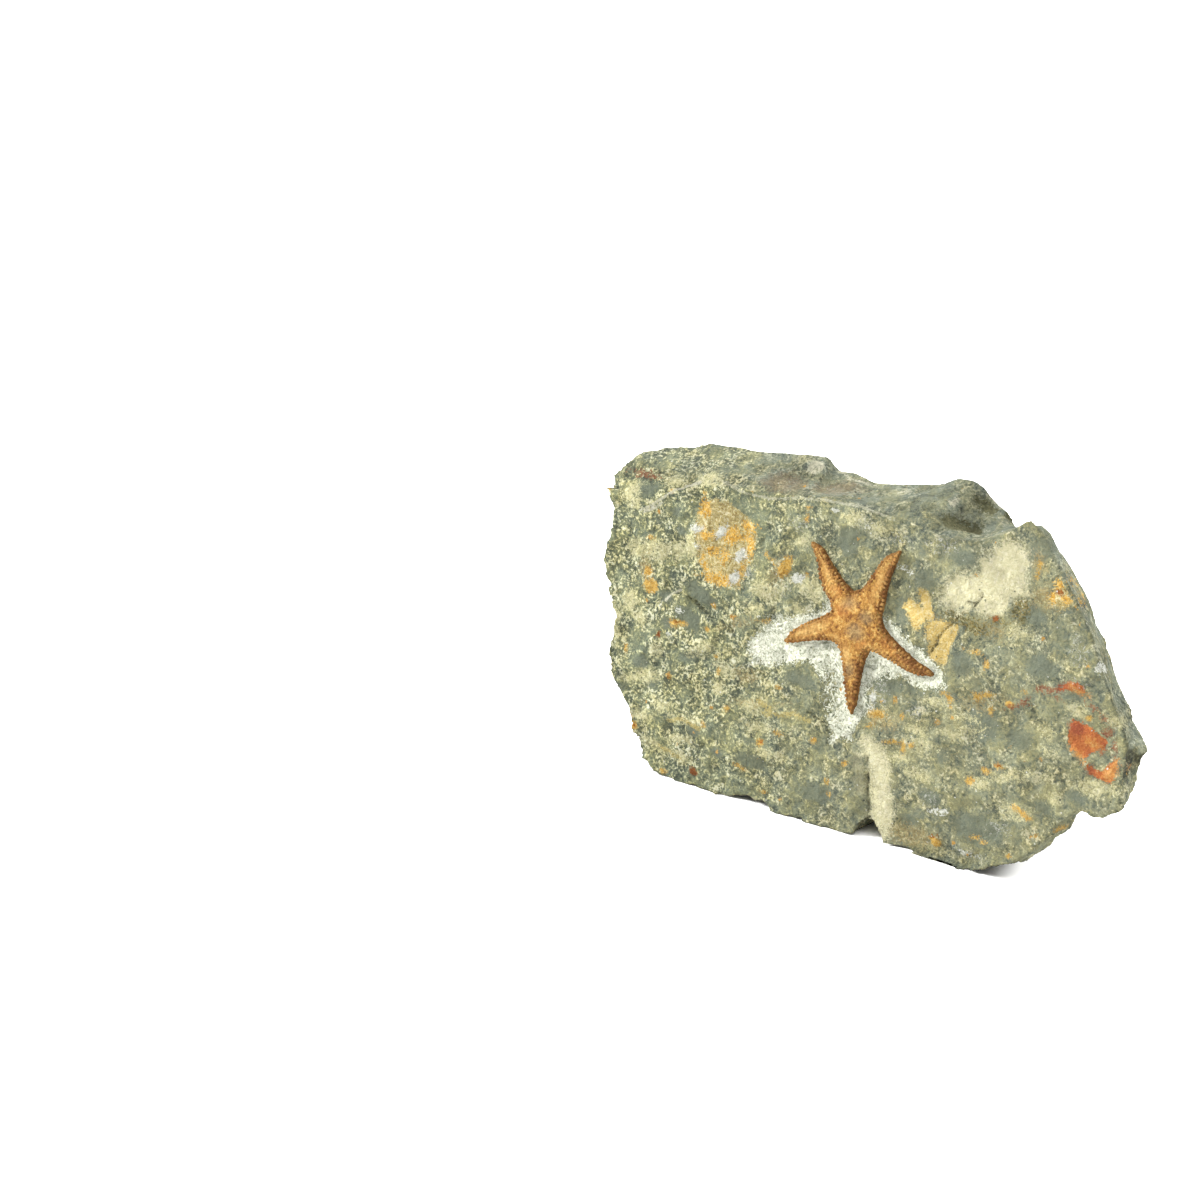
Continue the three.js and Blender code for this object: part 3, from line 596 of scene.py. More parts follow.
held = away_from(PEAK, 3, 13) * away_from(NOTCH, 6, 15)
calm = smooth(gaps["clay"], 0.5, -1.5)
lift = front * smooth(star_gap, 0.5, 3.5) * (1 - 0.75 * calm) * rough_face
lift += shoulder * rough_shoulder + (1 - front) * (1 - shoulder) * rough_sides
lift *= 0.15 + 0.85 * held
tool_marks = swells(on_face, 1.3, octaves=2, stretch=(3, 1, 3), seed=0.4)
scraping = smooth(gaps["scraped"] + 0.6 * grit, 0.6, -0.6) * smooth(star_gap, -0.2, 0.5)
lift -= front * (0.55 + 0.3 * tool_marks) * scraping
lift -= front * 0.3 * smooth(star_gap, 1.2, 0.3)
lift -= front * (0.35 + 0.3 * grit) * smooth(gaps["ochre"], 0.4, -0.6)
lift -= front * 0.5 * smooth(gaps["yellow"] + 0.3 * grit, 0.3, -0.3)
lift += front * 0.4 * smooth(gaps["shell"], 0.2, -0.6)
lift -= front * 0.9 * np.exp(-((gaps["crack_and_shadow_line"] / 0.5) ** 2))
lift += (front + shoulder) * 0.2 * np.exp(-((gaps["pale_edge_highlight"] / 0.6) ** 2))
lift += front * 0.35 * smooth(gaps["white"], 0.2, -0.5)
lift -= front * 0.5 * calm
lift -= shoulder * 0.9 * smooth(gaps["olive_pit_and_shade"], 1, -1.5)
proud = distance_to_outline(across_up, PROUD_FLAKE)
lift += front * 0.9 * smooth(proud, 0.2, -0.5) * np.exp(np.minimum(proud, 0) / 5) * smooth(across, -70, -60)
moved = block_points + block_normals * (lift * clear_of_ground)[:, None]
FOOT_RISE, CORNER_PUSH = 2.4, 1.6  # mm, at most
foot = smooth(swells(block_points, 11, octaves=3, seed=3.3), -0.15, 0.6)
foot = foot * smooth(out, -9, -1) * smooth(height, 7, 0)
moved[:, 2] = np.maximum(moved[:, 2] + FOOT_RISE * foot * smooth(across, 6, -2), 0)
corner = np.exp(-(((height - 88) / 8) ** 2)) * smooth(across, -78, -92)
moved[:, 0] -= CORNER_PUSH * corner
block.data.vertices.foreach_set("co", (moved * MM).ravel())
block.data.update()
print("relief in mm from", lift.min().round(2), "to", lift.max().round(2))

# %% Distances kept on the mesh for the material
def keep(mesh, name, values):
    attribute = mesh.attributes.new(name, "FLOAT", "POINT")
    attribute.data.foreach_set("value", np.clip(values, -20, 20).astype(np.float32))


rust_side = smooth(block_points[:, 0], -60, 20)  # the right of the face is calmer than the left
limy = smooth(gaps["lime"], 1.6, -1.2) - 1.2 * smooth(gaps["slate"], 0.8, -0.8)
# The sides' ramp is darker, partly as painted shade of the flank. It is left out near the notch and on the
# lower-right wedge, whose walls are in shadow, so that the face's lighter colours stand there as painted
# light.
broken = (1 - front) * (1 - shoulder) * away_from(NOTCH, 7, 20)
broken *= 1 - smooth(block_points[:, 0], 60, 70) * smooth(height, 43, 36)
broken *= 1 - 0.45 * smooth(block_normals[:, 1], 0.2, 0.7)  # the back takes less of this darker ramp and its painted shade
# The shoulder mask also picks the shoulder's darker ramp, painted shade against the light on the top; at the
# left it takes less of it.
others = {
    "shoulder": shoulder * (0.35 + 0.65 * smooth(block_points[:, 0], -66, -34)), "broken": broken,
    "calmer": rust_side, "limy": limy, "hollow": 0.8 * slabs + 0.8 * chips + 0.5 * grit, "beds": beds,
}
for name, values in {**gaps, **others}.items():
    keep(block.data, name, values)
print("kept", len(block.data.attributes), "attributes")

# %% [markdown]
# ## The starfish
# The fossil is a low dome with rows of small plates. It starts as the solid of the same shape, divided more
# finely than the stone, and its back is sunk into the stone so that no gap shows under its edge.

# %% The starfish's body
star = evenly_divided(joined_copy("starfish"), "starfish_body", FOSSIL_SQUARE)
star_points = to_face(points_of(star.data) / MM)
star_normals = points_of(star.data, "normal") @ np.stack([face_right, face_up, face_out]).T
tips = np.array(list(arm_tips.values()))
lengths = np.linalg.norm(tips, axis=1)
directions = tips / lengths[:, None]


def along_the_arms(flat):
    """For each point its arm, how far out it is along that arm, and how far beside the arm's middle line."""
    reach = flat @ directions.T
    aside = flat @ np.stack([-directions[:, 1], directions[:, 0]])
    arm = np.argmax(reach - np.abs(aside), axis=1)
    of_its_arm = np.arange(len(flat)), arm
    return arm, reach[of_its_arm], aside[of_its_arm]


arm_of, along_arm, across_arm = along_the_arms(star_points[:, :2])
upward = smooth(star_normals[:, 2], 0.1, 0.6)
on_arm = smooth(along_arm, 6, 10)
PLATE = 1.3  # along an arm, one row of plates after the other
TIP = 4.5  # the last of an arm, over which it narrows to a point
ridges = np.sin(2 * math.pi * (along_arm + 0.35 * np.abs(across_arm)) / PLATE)
groove = np.exp(-((across_arm / 0.45) ** 2)) * on_arm
star_grit = swells(star_points, 0.8, octaves=3, seed=2.2)
star_swell = swells(star_points, 3.2, octaves=2, seed=5.1)
star_lift = 0.1 * ridges * on_arm + 0.16 * star_grit + 0.25 * star_swell - 0.2 * groove
star_moved = star_points + star_normals * (star_lift * upward)[:, None]
SUNK, SEATED = 1.0, 0.25  # mm: its lower edge goes down by the first, and then all of it by the second
star_moved[:, 2] -= SUNK * smooth(star_points[:, 2], 0.75, 0.45)
star_moved[:, 2] -= SEATED


def pointed(points, arm, along, across):
    """The points drawn in towards the arm's middle line near its tip."""
    share = 0.5 * smooth(along, lengths[arm] - TIP, lengths[arm] + 0.5)
    sideways = np.stack([-directions[arm, 1], directions[arm, 0]], axis=1)
    drawn = points.copy()
    drawn[:, :2] -= (share * across)[:, None] * sideways
    return drawn


before_tips = star_moved
star_moved = pointed(star_moved, arm_of, along_arm, across_arm)
star.data.vertices.foreach_set("co", (from_face(star_moved) * MM).ravel())
star.data.update()
print("starfish:", len(star.data.polygons), "squares")

# %% [markdown]
# The fossil's colour is uneven in a way that no noise gives: some margins and bands across the arms are
# dark, some middle lines and tips golden, the disc grey with silt. Those places are ellipses again.

# %% Patches on the starfish
STAR_PATCHES = {
    "star_dark": [
        (22, -8.8, 6, 1.2, -20), (20.5, -8.3, 0.7, 2.4, -20), (2.6, -21, 1.6, 0.7, 10),
        (2.8, -23.2, 1.4, 0.5), (3, -25.5, 1.2, 0.6, 10), (4.3, -14, 0.9, 2), (4, -19, 0.8, 1.2),
        (0.2, -20, 0.6, 2, 10), (10, 14, 0.8, 7, -8), (4.5, 14.5, 0.7, 4, -25),
        (-5.5, 10.5, 1.5, 0.9, 40), (-14, 12, 0.8, 3, 35), (-11, 6.6, 1.4, 0.5, -50),
    ],
    "star_gold": [
        (-11, 12.5, 5, 0.9, -52), (-17.2, 19.2, 2.6, 1.5, -52), (8, 14, 1.3, 6, -15),
        (11.6, 21.6, 1.8, 2.9, 12), (-15, -6, 7, 2.4, 28), (-22.5, -11.2, 1.6, 1, 30),
        (8.5, -7.5, 3, 0.9), (14, -8.8, 4, 0.6, -10), (-1, -11, 1.8, 2.6), (2.4, -22.2, 1.3, 0.5),
        (2.7, -24.3, 1.2, 0.5), (3, -27.8, 1, 1.8), (6.5, -7.5, 1.5, 1.5), (-5, -7, 1.5, 1.5),
    ],
    "star_grey": [
        (2, -3, 3, 2.5), (5, 2, 2, 2), (1, -15, 1.8, 2.5), (-1.5, 5, 2.4, 1.6, 20),
    ],
    "star_orange": [
        (-3, 3, 3, 2, 30), (4.5, -6.5, 1.5, 1.5), (15, -5, 3, 1.4, -20), (-7, 8, 2, 1.4, -45),
    ],
}


def keep_star(mesh, flat):
    """The distances that the fossil's finish follows, for the body or for plates."""
    for name, patches in STAR_PATCHES.items():
        keep(mesh, name, distance_to_spots(flat, patches))
    keep(mesh, "inside_by", -distance_to_outline(flat, star_outline))


keep_star(star.data, star_points[:, :2])
keep(star.data, "is_plate", np.zeros(len(star_points)))
keep(star.data, "plate_tone", np.full(len(star_points), 0.5))
print("arms have", np.bincount(arm_of).tolist(), "points")

# %% [markdown]
# ## Plates along the arms
# Along each edge of an arm is a row of bead-like plates, and a finer row lies inside it. They repeat along
# a line, so Geometry Nodes set them: the line is turned to a curve, points are spread on it, and a
# flattened ball is put on each. Python gives the lines, each a fixed way in from the outline and lying on
# the body.

# %% Lines for the plates
def rounded(corners, step):
    """Points every step along a smooth curve through the corners."""
    corners = np.array(corners, dtype=float)
    padded = np.vstack([2 * corners[0] - corners[1], corners, 2 * corners[-1] - corners[-2]])
    dense = []
    for a, b, c, d in zip(padded, padded[1:], padded[2:], padded[3:]):
        for t in np.linspace(0, 1, 12, endpoint=False):
            dense.append(0.5 * (
                2 * b + (c - a) * t + (2 * a - 5 * b + 4 * c - d) * t**2 + (3 * b - a - 3 * c + d) * t**3
            ))
    dense = np.array(dense + [corners[-1]])
    run = np.r_[0, np.cumsum(np.linalg.norm(np.diff(dense, axis=0), axis=1))]
    at = np.arange(0, run[-1], step)
    return np.stack([np.interp(at, run, dense[:, 0]), np.interp(at, run, dense[:, 1])], axis=1)


body_tree = BVHTree.FromPolygons(before_tips.tolist(), [p.vertices[:] for p in star.data.polygons])


def plate_line(edge, inset):
    """The edge's line moved in by the inset and laid on the body, in pieces where the arm is wide enough."""
    line = rounded(edge, 0.4)
    along = np.gradient(line, axis=0)
    along /= np.linalg.norm(along, axis=1)[:, None]
    moved_in = line + inset * np.stack([-along[:, 1], along[:, 0]], axis=1)
    keep_it = distance_to_line(moved_in, star_outline) > 0.8 * inset
    pieces, piece = [], []
    for (x, y), good in zip(moved_in, keep_it):
        hit = body_tree.ray_cast(Vector((x, y, 9)), Vector((0, 0, -1)))[0] if good else None
        if hit is not None:
            piece.append(hit[:])
        elif piece:
            pieces.append(piece)
            piece = []
    return [p for p in pieces + [piece] if len(p) > 4]


def line_object(name, inset):
    lines = [line for edge in ARMS.values() for line in plate_line(edge, inset)]
    points = [point for line in lines for point in line]
    starts = np.cumsum([0] + [len(line) for line in lines])
    edges = [(i, i + 1) for a, b in zip(starts, starts[1:]) for i in range(a, b - 1)]
    mesh = bpy.data.meshes.new(name)
    mesh.from_pydata((from_face(np.array(points)) * MM).tolist(), edges, [])
    line = bpy.data.objects.new(name, mesh)
    scene.collection.objects.link(line)
    return line


edge_line = line_object("edge_plates", 0.4)
inner_line = line_object("inner_plates", 1.35)
print("lines with", len(edge_line.data.vertices), "and", len(inner_line.data.vertices), "points")

# %% [markdown]
# One small function adds a node to any tree: its settings, and what goes into each socket, which is a value
# or another node's output. It returns the output that is asked for.

# %% One helper for every node
def hex_colour(code):
    """An sRGB hex colour as the linear values that a node takes."""
    channels = [int(code[i : i + 2], 16) / 255 for i in (1, 3, 5)]
    return (*[c / 12.92 if c <= 0.04045 else ((c + 0.055) / 1.055) ** 2.4 for c in channels], 1.0)


def add(tree, kind, inputs=None, take=None, stops=None, **settings):
    node = tree.nodes.new(kind if "Node" in kind else "ShaderNode" + kind)
    for name, value in settings.items():
        setattr(node, name, value)
    for key, value in (inputs or {}).items():
        named = (s for s in node.inputs if s.enabled and s.name == key)
        socket = node.inputs[key] if isinstance(key, int) else next(named)
        if isinstance(value, bpy.types.NodeSocket):
            tree.links.new(value, socket)
        elif isinstance(value, str) and value.startswith("#"):
            socket.default_value = hex_colour(value)
        else:
            socket.default_value = value
    if stops:
        ramp = node.color_ramp
        while len(ramp.elements) < len(stops):
            ramp.elements.new(0.5)
        for element, (position, code) in zip(ramp.elements, stops):
            element.position = position
            element.color = hex_colour(code)
    outputs = [o for o in node.outputs if o.enabled]
    return node.outputs[take] if take else (outputs[0] if outputs else node)


print("sRGB #808080 is", round(hex_colour("#808080")[0], 3), "in linear light")

# %% The tree that sets plates on a line
def plate_tree(finish):
    tree = bpy.data.node_groups.new("set plates", "GeometryNodeTree")
    face = tree.interface
    face.new_socket("Geometry", in_out="INPUT", socket_type="NodeSocketGeometry")
    for name, value in {"Spacing": 0.001, "Length": 0.001, "Width": 0.0007, "Unevenness": 0.3}.items():
        face.new_socket(name, in_out="INPUT", socket_type="NodeSocketFloat").default_value = value
    face.new_socket("Seed", in_out="INPUT", socket_type="NodeSocketInt").default_value = 7
    face.new_socket("Geometry", in_out="OUTPUT", socket_type="NodeSocketGeometry")
    given = tree.nodes.new("NodeGroupInput").outputs
    curve = add(tree, "GeometryNodeMeshToCurve", {"Mesh": given["Geometry"]})
    spread = add(tree, "GeometryNodeResampleCurve", {
        "Curve": curve, "Length": given["Spacing"],
    }, mode="LENGTH")
    ball = add(tree, "GeometryNodeMeshIcoSphere", {"Radius": 0.5, "Subdivisions": 2})
    tangent = add(tree, "GeometryNodeInputTangent")
    turned = add(tree, "FunctionNodeAlignRotationToVector", {"Vector": tangent}, axis="X")
    least = add(tree, "Math", {0: 1.0, 1: given["Unevenness"]}, operation="SUBTRACT")
    most = add(tree, "Math", {0: 1.0, 1: given["Unevenness"]}, operation="ADD")
    uneven = add(tree, "FunctionNodeRandomValue", {
        "Min": least, "Max": most, "Seed": given["Seed"],
    }, data_type="FLOAT")
    sizes = add(tree, "CombineXYZ", {"X": given["Length"], "Y": given["Width"], "Z": given["Width"]})
    scaled = add(tree, "VectorMath", {"Vector": sizes, "Scale": uneven}, operation="SCALE")
    plates = add(tree, "GeometryNodeInstanceOnPoints", {
        "Points": spread, "Instance": ball, "Rotation": turned, "Scale": scaled,
    })
    tone = add(tree, "FunctionNodeRandomValue", {"Min": 0.0, "Max": 1.0, "Seed": 3}, data_type="FLOAT")
    toned = add(tree, "GeometryNodeStoreNamedAttribute", {
        "Geometry": plates, "Name": "plate_tone", "Value": tone,
    }, data_type="FLOAT", domain="INSTANCE")
    marked = add(tree, "GeometryNodeStoreNamedAttribute", {
        "Geometry": toned, "Name": "is_plate", "Value": 1.0,
    }, data_type="FLOAT", domain="INSTANCE")
    solid = add(tree, "GeometryNodeRealizeInstances", {"Geometry": marked})
    painted = add(tree, "GeometryNodeSetMaterial", {"Geometry": solid, "Material": finish})
    tree.links.new(painted, tree.nodes.new("NodeGroupOutput").inputs["Geometry"])
    return tree


star_finish = bpy.data.materials.new("limonite_replaced_skeleton")
plates_on_line = plate_tree(star_finish)


def set_plates(line, **sizes):
    """Runs the tree on a line with these sizes, and leaves plain mesh in its place."""
    modifier = line.modifiers.new("plates", "NODES")
    modifier.node_group = plates_on_line
    sockets = plates_on_line.interface.items_tree
    for name, value in sizes.items():
        socket = next(s for s in sockets if s.name == name and s.in_out == "INPUT")
        modifier[socket.identifier] = value
    evaluated = line.evaluated_get(bpy.context.evaluated_depsgraph_get())
    made = bpy.data.meshes.new_from_object(evaluated)
    line.modifiers.clear()
    line.data = made
    return line


set_plates(edge_line, Spacing=1.3 * MM, Length=0.9 * MM, Width=0.95 * MM, Unevenness=0.35, Seed=11)
set_plates(inner_line, Spacing=1.15 * MM, Length=0.75 * MM, Width=0.55 * MM, Unevenness=0.4, Seed=23)
print("plates:", len(edge_line.data.polygons) + len(inner_line.data.polygons), "triangles")

# %% [markdown]
# The body and its plates become one mesh, because the fossil is one piece. Each plate stays a closed shell
# of its own there, sunk into the body. The plates get the same distances as the body, worked out for their
# own points.

# %% One starfish
for plates in (edge_line, inner_line):
    points = to_face(points_of(plates.data) / MM)
    keep_star(plates.data, points[:, :2])
    drawn = from_face(pointed(points, *along_the_arms(points[:, :2]))) * MM
    plates.data.vertices.foreach_set("co", drawn.ravel())
    for polygon in plates.data.polygons:
        polygon.use_smooth = True
star.data.materials.append(star_finish)
parts = [star, edge_line, inner_line]
with bpy.context.temp_override(
    active_object=star, object=star, selected_objects=parts, selected_editable_objects=parts,
):
    bpy.ops.object.join()
print("starfish:", len(star.data.polygons), "faces with its plates")

# %% [markdown]
# ## Siltstone
# The block is fine sandy siltstone, split along its bedding and never polished: dead matt, cool dark grey
# where the break is fresh, and khaki to cream where lime has crept over it in a fine network. At the left
# the network is crisp and dusted with thin pale threads, at the right it's calmer. One level drives all of
# that. It adds up two fractal noises, one of them curled, and threads where a noise crosses its middle
# value. How lively those are changes from patch to patch, and bare slate is smoother than lime. A wide
# cloud, the beds, and the lime and slate patches come on top. Four ramps turn the level into colour: the
# crisp left, the calmer right, the shoulder and the broken sides. The shoulder's ramp is darker than the
# face's as painted shade that offsets the stronger light on the top, and the sides' ramp is darker still,
# partly as painted shade of the flank. Last, the colour is cast a little cooler in places and warmer in
# others.

# %% Base of the siltstone
stone = bpy.data.materials.new("siltstone_split")
stone.use_nodes = True
tree = stone.node_tree
tree.nodes.clear()
place = add(tree, "TexCoord", take="Object")
mm_place = add(tree, "Mapping", {"Vector": place, "Scale": (1000, 1000, 1000)})
kept = {}
for name in ("shoulder", "broken", "calmer", "limy", "hollow", "beds", *gaps):
    kept[name] = add(tree, "Attribute", take="Fac", attribute_name=name)
pushed = []  # the place, pushed about by a noise, so that what follows it curls or flows
for reach, per_mm in ((5, 0.4), (26, 0.1)):
    push = add(tree, "TexNoise", {"Vector": mm_place, "Scale": per_mm, "Detail": 2.0}, take="Color")
    push = add(tree, "VectorMath", {0: push, 1: (0.5, 0.5, 0.5)}, operation="SUBTRACT")
    pushed.append(add(tree, "VectorMath", {0: push, 1: (reach,) * 3, 2: mm_place}, operation="MULTIPLY_ADD"))
curled, flowing = pushed
streaky = add(tree, "Mapping", {"Vector": flowing, "Scale": (0.5, 0.9, 1.2)})
patchy = add(tree, "TexNoise", {"Vector": curled, "Scale": 0.13, "Detail": 3.0, "Roughness": 0.6})
patchy = add(tree, "MapRange", {
    "Value": patchy, "From Min": 0.38, "From Max": 0.62, "To Min": 0.5, "To Max": 1.5,
})
smooth_slate = add(tree, "MapRange", {
    "Value": kept["limy"], "From Min": -1.2, "From Max": 0.0, "To Min": 0.4,
})
lively = add(tree, "Math", {0: patchy, 1: smooth_slate}, operation="MULTIPLY")
level = 0.0
for where, per_mm, detail, rough, at_left, at_right in (
    (curled, 0.4, 6.0, 0.68, 1.3, 1.5), (mm_place, 1.1, 3.0, 0.65, 1.6, 0.95),
):
    cloud = add(tree, "TexNoise", {
        "Vector": where, "Scale": per_mm, "Detail": detail, "Roughness": rough,
    })
    centred = add(tree, "Math", {0: cloud, 1: 0.5}, operation="SUBTRACT")
    weight = add(tree, "MapRange", {"Value": kept["calmer"], "To Min": at_left, "To Max": at_right})
    level = add(tree, "Math", {0: centred, 1: weight, 2: level}, operation="MULTIPLY_ADD")
grain = centred
for where, per_mm, at_left, at_right in ((curled, 0.35, -1.7, -1.1), (streaky, 0.6, -1.3, -0.8)):
    veins = add(tree, "TexNoise", {"Vector": where, "Scale": per_mm, "Detail": 4.0, "Roughness": 0.6})
    centred = add(tree, "Math", {0: veins, 1: 0.5}, operation="SUBTRACT")
    off_ridge = add(tree, "Math", {0: centred}, operation="ABSOLUTE")
    ridge = add(tree, "Math", {0: off_ridge, 1: 0.07}, operation="SUBTRACT")
    weight = add(tree, "MapRange", {"Value": kept["calmer"], "To Min": at_left, "To Max": at_right})
    level = add(tree, "Math", {0: ridge, 1: weight, 2: level}, operation="MULTIPLY_ADD")
level = add(tree, "Math", {0: level, 1: lively}, operation="MULTIPLY")
wide = add(tree, "TexNoise", {"Vector": mm_place, "Scale": 0.09, "Detail": 3.0, "Roughness": 0.55})
centred = add(tree, "Math", {0: wide, 1: 0.5}, operation="SUBTRACT")
level = add(tree, "Math", {0: centred, 1: 0.28, 2: level}, operation="MULTIPLY_ADD")
limy_gain = add(tree, "MapRange", {"Value": kept["calmer"], "To Min": 0.14, "To Max": 0.08})
level = add(tree, "Math", {0: kept["limy"], 1: limy_gain, 2: level}, operation="MULTIPLY_ADD")
off_face = add(tree, "Math", {0: kept["shoulder"], 1: kept["broken"]}, operation="ADD")
bedded = add(tree, "Math", {0: off_face, 1: kept["beds"]}, operation="MULTIPLY")
level = add(tree, "Math", {0: bedded, 1: 0.1, 2: level}, operation="MULTIPLY_ADD")
RAMPS = {  # level, colour
    "crisp": [
        (-0.36, "#3d4135"), (-0.14, "#4c5040"), (0.06, "#5f624a"), (0.12, "#717052"), (0.2, "#93906a"),
        (0.38, "#a9a68b"),
    ],
    "calmer": [
        (-0.34, "#3e4136"), (-0.12, "#535646"), (0.05, "#63634c"), (0.18, "#747256"), (0.34, "#999478"),
    ],
    # the shoulder's ramp: darker than the face's as painted shade that offsets the stronger light on the top
    "shoulder": [(-0.34, "#3d4036"), (-0.08, "#525547"), (0.12, "#616351"), (0.34, "#7f7d67")],
    # the sides' ramp: darker, partly painted shade of the flank
    "broken": [(-0.34, "#1e2018"), (-0.08, "#313226"), (0.14, "#444332"), (0.32, "#66634c")],
}
base = None
moved_up = add(tree, "Math", {0: level, 1: 0.5}, operation="ADD")
for name, steps in RAMPS.items():
    stops = [(0.5 + position, colour) for position, colour in steps]
    coloured = add(tree, "ValToRGB", {"Fac": moved_up}, stops=stops)
    base = coloured if base is None else add(
        tree, "Mix", {"Factor": kept[name], "A": base, "B": coloured}, data_type="RGBA"
    )
hue = add(tree, "TexNoise", {"Vector": curled, "Scale": 0.17, "Detail": 4.0, "Roughness": 0.62})
warm = add(tree, "MapRange", {"Value": hue, "From Min": 0.4, "From Max": 0.6})
COOL, WARM = (1.1, 1.15, 1.27, 1.0), (1.18, 1.15, 1.05, 1.0)  # times the colour, so these aren't hex
cast = add(tree, "Mix", {"Factor": warm, "A": COOL, "B": WARM}, data_type="RGBA")
base = add(tree, "VectorMath", {0: base, 1: cast}, operation="MULTIPLY")
print("base of", stone.name, "with", len(tree.nodes), "nodes")

# %% [markdown]
# A stain's line is in the table below: which distance it follows, how far its edge wanders, how soft it is,
# how much of it is bare (the noise level under which it leaves the stone open), its strength, and its
# colours from its darkest to its palest grain. Later lines lie over earlier ones.

# %% Stains on the siltstone
STAINS = [  # name, wander and softness in mm, bareness, strength, colours
    ("slate", 1.4, 0.8, 0.36, 0.6, ["#484d43", "#565a4c"]),
    ("lime", 2.0, 1.0, 0.45, 0.85, ["#878361", "#97936e", "#a9a587"]),
    ("tan", 2.4, 2.4, 0.46, 0.8, ["#63583a", "#7b6e4b", "#887d5b"]),
    ("seam_veil", 1.6, 1.4, 0.42, 0.6, ["#747158", "#848169"]),
    ("ochre", 1.3, 0.8, 0.36, 0.9, ["#665735", "#817249", "#978b5f", "#aaa384"]),
    ("gold", 1.8, 0.7, 0.44, 0.95, ["#8c6526", "#aa8438", "#b79958"]),
    ("clay", 2.2, 2.6, 0.1, 0.95, ["#949071", "#9e9a7c", "#a6a28a"]),
    ("olive", 1.6, 0.8, 0.47, 0.9, ["#35321b", "#534c2b", "#7d6d43"]),
    ("yellow", 0.9, 0.8, 0.2, 0.95, ["#998047", "#a6925a", "#aea179"]),
    ("ochre_spots", 0.8, 0.8, 0.38, 0.9, ["#7d5c26", "#9d7b36", "#a98e50"]),
    ("brown_hollow", 2.6, 3.0, 0.4, 0.5, ["#564534", "#675743"]),
    # the olive pit, and painted shade beside the hump
    ("olive_pit_and_shade", 1.2, 0.8, 0.3, 0.85, ["#3d3d29", "#4f4d34"]),
    ("red", 1.2, 0.6, 0.42, 0.85, ["#533123", "#673e2b", "#79543c"]),
    ("rusty", 0.6, 0.5, 0.0, 0.9, ["#5b2e10", "#72411a"]),
    ("shell", 0.6, 0.3, 0.2, 0.96, ["#7f4426", "#8e4f29", "#995e35"]),
    ("shell_red", 1.0, 1.6, 0.1, 0.8, ["#663223", "#763e2b"]),
    ("shell_glow", 1.0, 1.4, 0.1, 0.9, ["#9e672f", "#aa834f"]),
    ("dust", 2.0, 1.6, 0.56, 0.8, ["#88887d", "#9f9f97"]),
    ("golden_line", 0.6, 0.5, 0.44, 0.8, ["#7d7040", "#948858"]),
    # painted highlight along the crest of the face
    ("crest_highlight", 0.4, 0.4, 0.4, 0.75, ["#81806a", "#9a9987"]),
    # pale lines: painted highlight on ledge edges, and the scraped ground's white rim
    ("pale_edge_highlight", 0.3, 0.3, 0.32, 0.85, ["#8a8874", "#a2a190"]),
    # shoulder: painted highlight on a ridge, and pale marks
    ("shoulder_pale_and_highlight", 0.8, 0.6, 0.42, 0.8, ["#888570", "#9d9a88"]),
    # dark lines: painted shadow under a flake and a ledge, and the dark of cracks
    ("crack_and_shadow_line", 0.5, 0.5, 0.38, 0.85, ["#2d2c1e", "#413f2d"]),
    ("scraped", 1.6, 0.5, 0.39, 1.0, ["#7d806e", "#aeb09f", "#c8c8b8"]),
    ("white", 1.1, 0.4, 0.3, 0.95, ["#888a7f", "#9fa096", "#aeaea6"]),
]
HALF_WIDTH = {  # of the lines, in mm
    "golden_line": 0.7, "pale_edge_highlight": 0.4, "crest_highlight": 0.4, "shoulder_pale_and_highlight": 0.5, "crack_and_shadow_line": 0.25,
}
wander = 0.0
for per_mm, gain in ((0.45, 3.0), (1.8, 3.0)):
    rough = add(tree, "TexNoise", {"Vector": mm_place, "Scale": per_mm, "Detail": 3.0, "Roughness": 0.65})
    centred = add(tree, "Math", {0: rough, 1: 0.5}, operation="SUBTRACT")
    wander = add(tree, "Math", {0: centred, 1: gain, 2: wander}, operation="MULTIPLY_ADD")
bare = add(tree, "TexNoise", {"Vector": curled, "Scale": 1.1, "Detail": 5.0, "Roughness": 0.7})
tint = add(tree, "TexNoise", {"Vector": curled, "Scale": 0.9, "Detail": 5.0, "Roughness": 0.72})
thin = add(tree, "MapRange", {
    "Value": kept["thin"], "From Min": 1.5, "From Max": -1.5, "To Min": 0.0, "To Max": 0.12,
})
for name, roam, softness, bareness, strength, colours in STAINS:
    half = HALF_WIDTH.get(name, 0.0)
    ragged = add(tree, "Math", {0: wander, 1: roam, 2: kept[name]}, operation="MULTIPLY_ADD")
    cover = add(tree, "MapRange", {
        "Value": ragged, "From Min": half + softness / 2, "From Max": half - softness / 2, "To Max": strength,
    })
    open_below = bareness
    if name == "scraped":
        open_below = add(tree, "Math", {0: thin, 1: bareness}, operation="ADD")
    from_open = add(tree, "Math", {0: bare, 1: open_below}, operation="SUBTRACT")
    closed = add(tree, "MapRange", {"Value": from_open, "From Min": -0.03, "From Max": 0.04})
    cover = add(tree, "Math", {0: cover, 1: closed}, operation="MULTIPLY")
    steps = [(0.38 + 0.24 * i / (len(colours) - 1), colour) for i, colour in enumerate(colours)]
    coloured = add(tree, "ValToRGB", {"Fac": tint}, stops=steps)
    base = add(tree, "Mix", {"Factor": cover, "A": base, "B": coloured}, data_type="RGBA")
print(len(STAINS), "stains")

